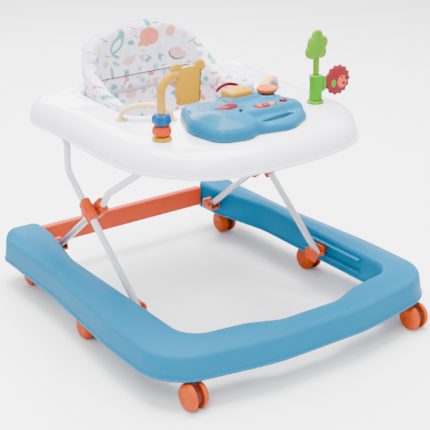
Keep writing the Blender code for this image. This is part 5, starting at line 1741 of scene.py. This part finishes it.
# ---------------------------------------------------------------- stage
LIGHTS = (    # name, place, target, size, watts
    ("key", (-1.5, -1.5, 2.5), (0, 0, 0.25), 1.4, 90),
    ("top", (0.2, 0.3, 2.8), (0, 0, 0.20), 2.4, 390),
    ("back", (0.9, 2.2, 1.7), (0, 0, 0.3), 1.4, 60))
WORLD_STRENGTH = 1.25
CAMERA_TARGET = Vector((-0.0089, -0.0292, 0.2000))
CAMERA_DISTANCE = 2.358
CAMERA_AZIMUTH, CAMERA_DIP, CAMERA_ROLL = (math.radians(angle) for angle in (34.86, 22.28, -0.55))
CAMERA_LENS = 104.57


def add_light(name, place_at, target, size, watts):
    """A round area light that faces a target."""
    data = bpy.data.lights.new(name, "AREA")
    data.shape = "DISK"
    data.size = size
    data.energy = watts
    light = bpy.data.objects.new(name, data)
    light.location = place_at
    light.rotation_euler = (Vector(target) - Vector(place_at)).to_track_quat("-Z", "Y").to_euler()
    bpy.context.scene.collection.objects.link(light)


def make_floor_and_world():
    """A pale floor in even white light."""
    bm = bmesh.new()
    bmesh.ops.create_grid(bm, x_segments=1, y_segments=1, size=6.0)
    paper, tree, shader = new_material("pale_floor")
    cloud = noise_at(tree, object_place(tree), scale=1.5, detail=2.0)
    tree.links.new(mix_colour(tree, cloud, (0.94, 0.94, 0.94), (0.96, 0.96, 0.96)),
                   shader.inputs["Base Color"])
    shader.inputs["Roughness"].default_value = 0.85
    finish_mesh("floor", bm, paper, recalc=False)

    world = bpy.data.worlds.new("studio")
    world.use_nodes = True
    background = world.node_tree.nodes["Background"]
    background.inputs["Color"].default_value = (1.0, 1.0, 1.0, 1.0)
    background.inputs["Strength"].default_value = WORLD_STRENGTH
    bpy.context.scene.world = world


def make_camera():
    """A long lens from the front left, a little above the tray."""
    view = Vector((math.sin(CAMERA_AZIMUTH) * math.cos(CAMERA_DIP),
                   math.cos(CAMERA_AZIMUTH) * math.cos(CAMERA_DIP), -math.sin(CAMERA_DIP)))
    right = Vector((math.cos(CAMERA_AZIMUTH), -math.sin(CAMERA_AZIMUTH), 0.0))
    up = right.cross(view)
    turned_right = right * math.cos(CAMERA_ROLL) + up * math.sin(CAMERA_ROLL)
    turned_up = up * math.cos(CAMERA_ROLL) - right * math.sin(CAMERA_ROLL)
    data = bpy.data.cameras.new("photo_view")
    data.sensor_width = 36.0
    data.lens = CAMERA_LENS
    camera = bpy.data.objects.new("photo_view", data)
    camera.matrix_world = Matrix.Translation(CAMERA_TARGET - view * CAMERA_DISTANCE) @ Matrix(
        (turned_right, turned_up, -view)).transposed().to_4x4()
    bpy.context.scene.collection.objects.link(camera)
    bpy.context.scene.camera = camera


for make in (make_base, make_casters, make_tubes, make_pivots, make_rear_feet, make_front_feet, make_tray,
             make_tray_fittings, make_seat, make_panel, make_buttons, make_dial, make_rollers, make_grips,
             make_arm_toy, make_plate, make_tree_post, make_sleeve, make_floor_and_world):
    make()
for light_facts in LIGHTS:
    add_light(*light_facts)
make_camera()
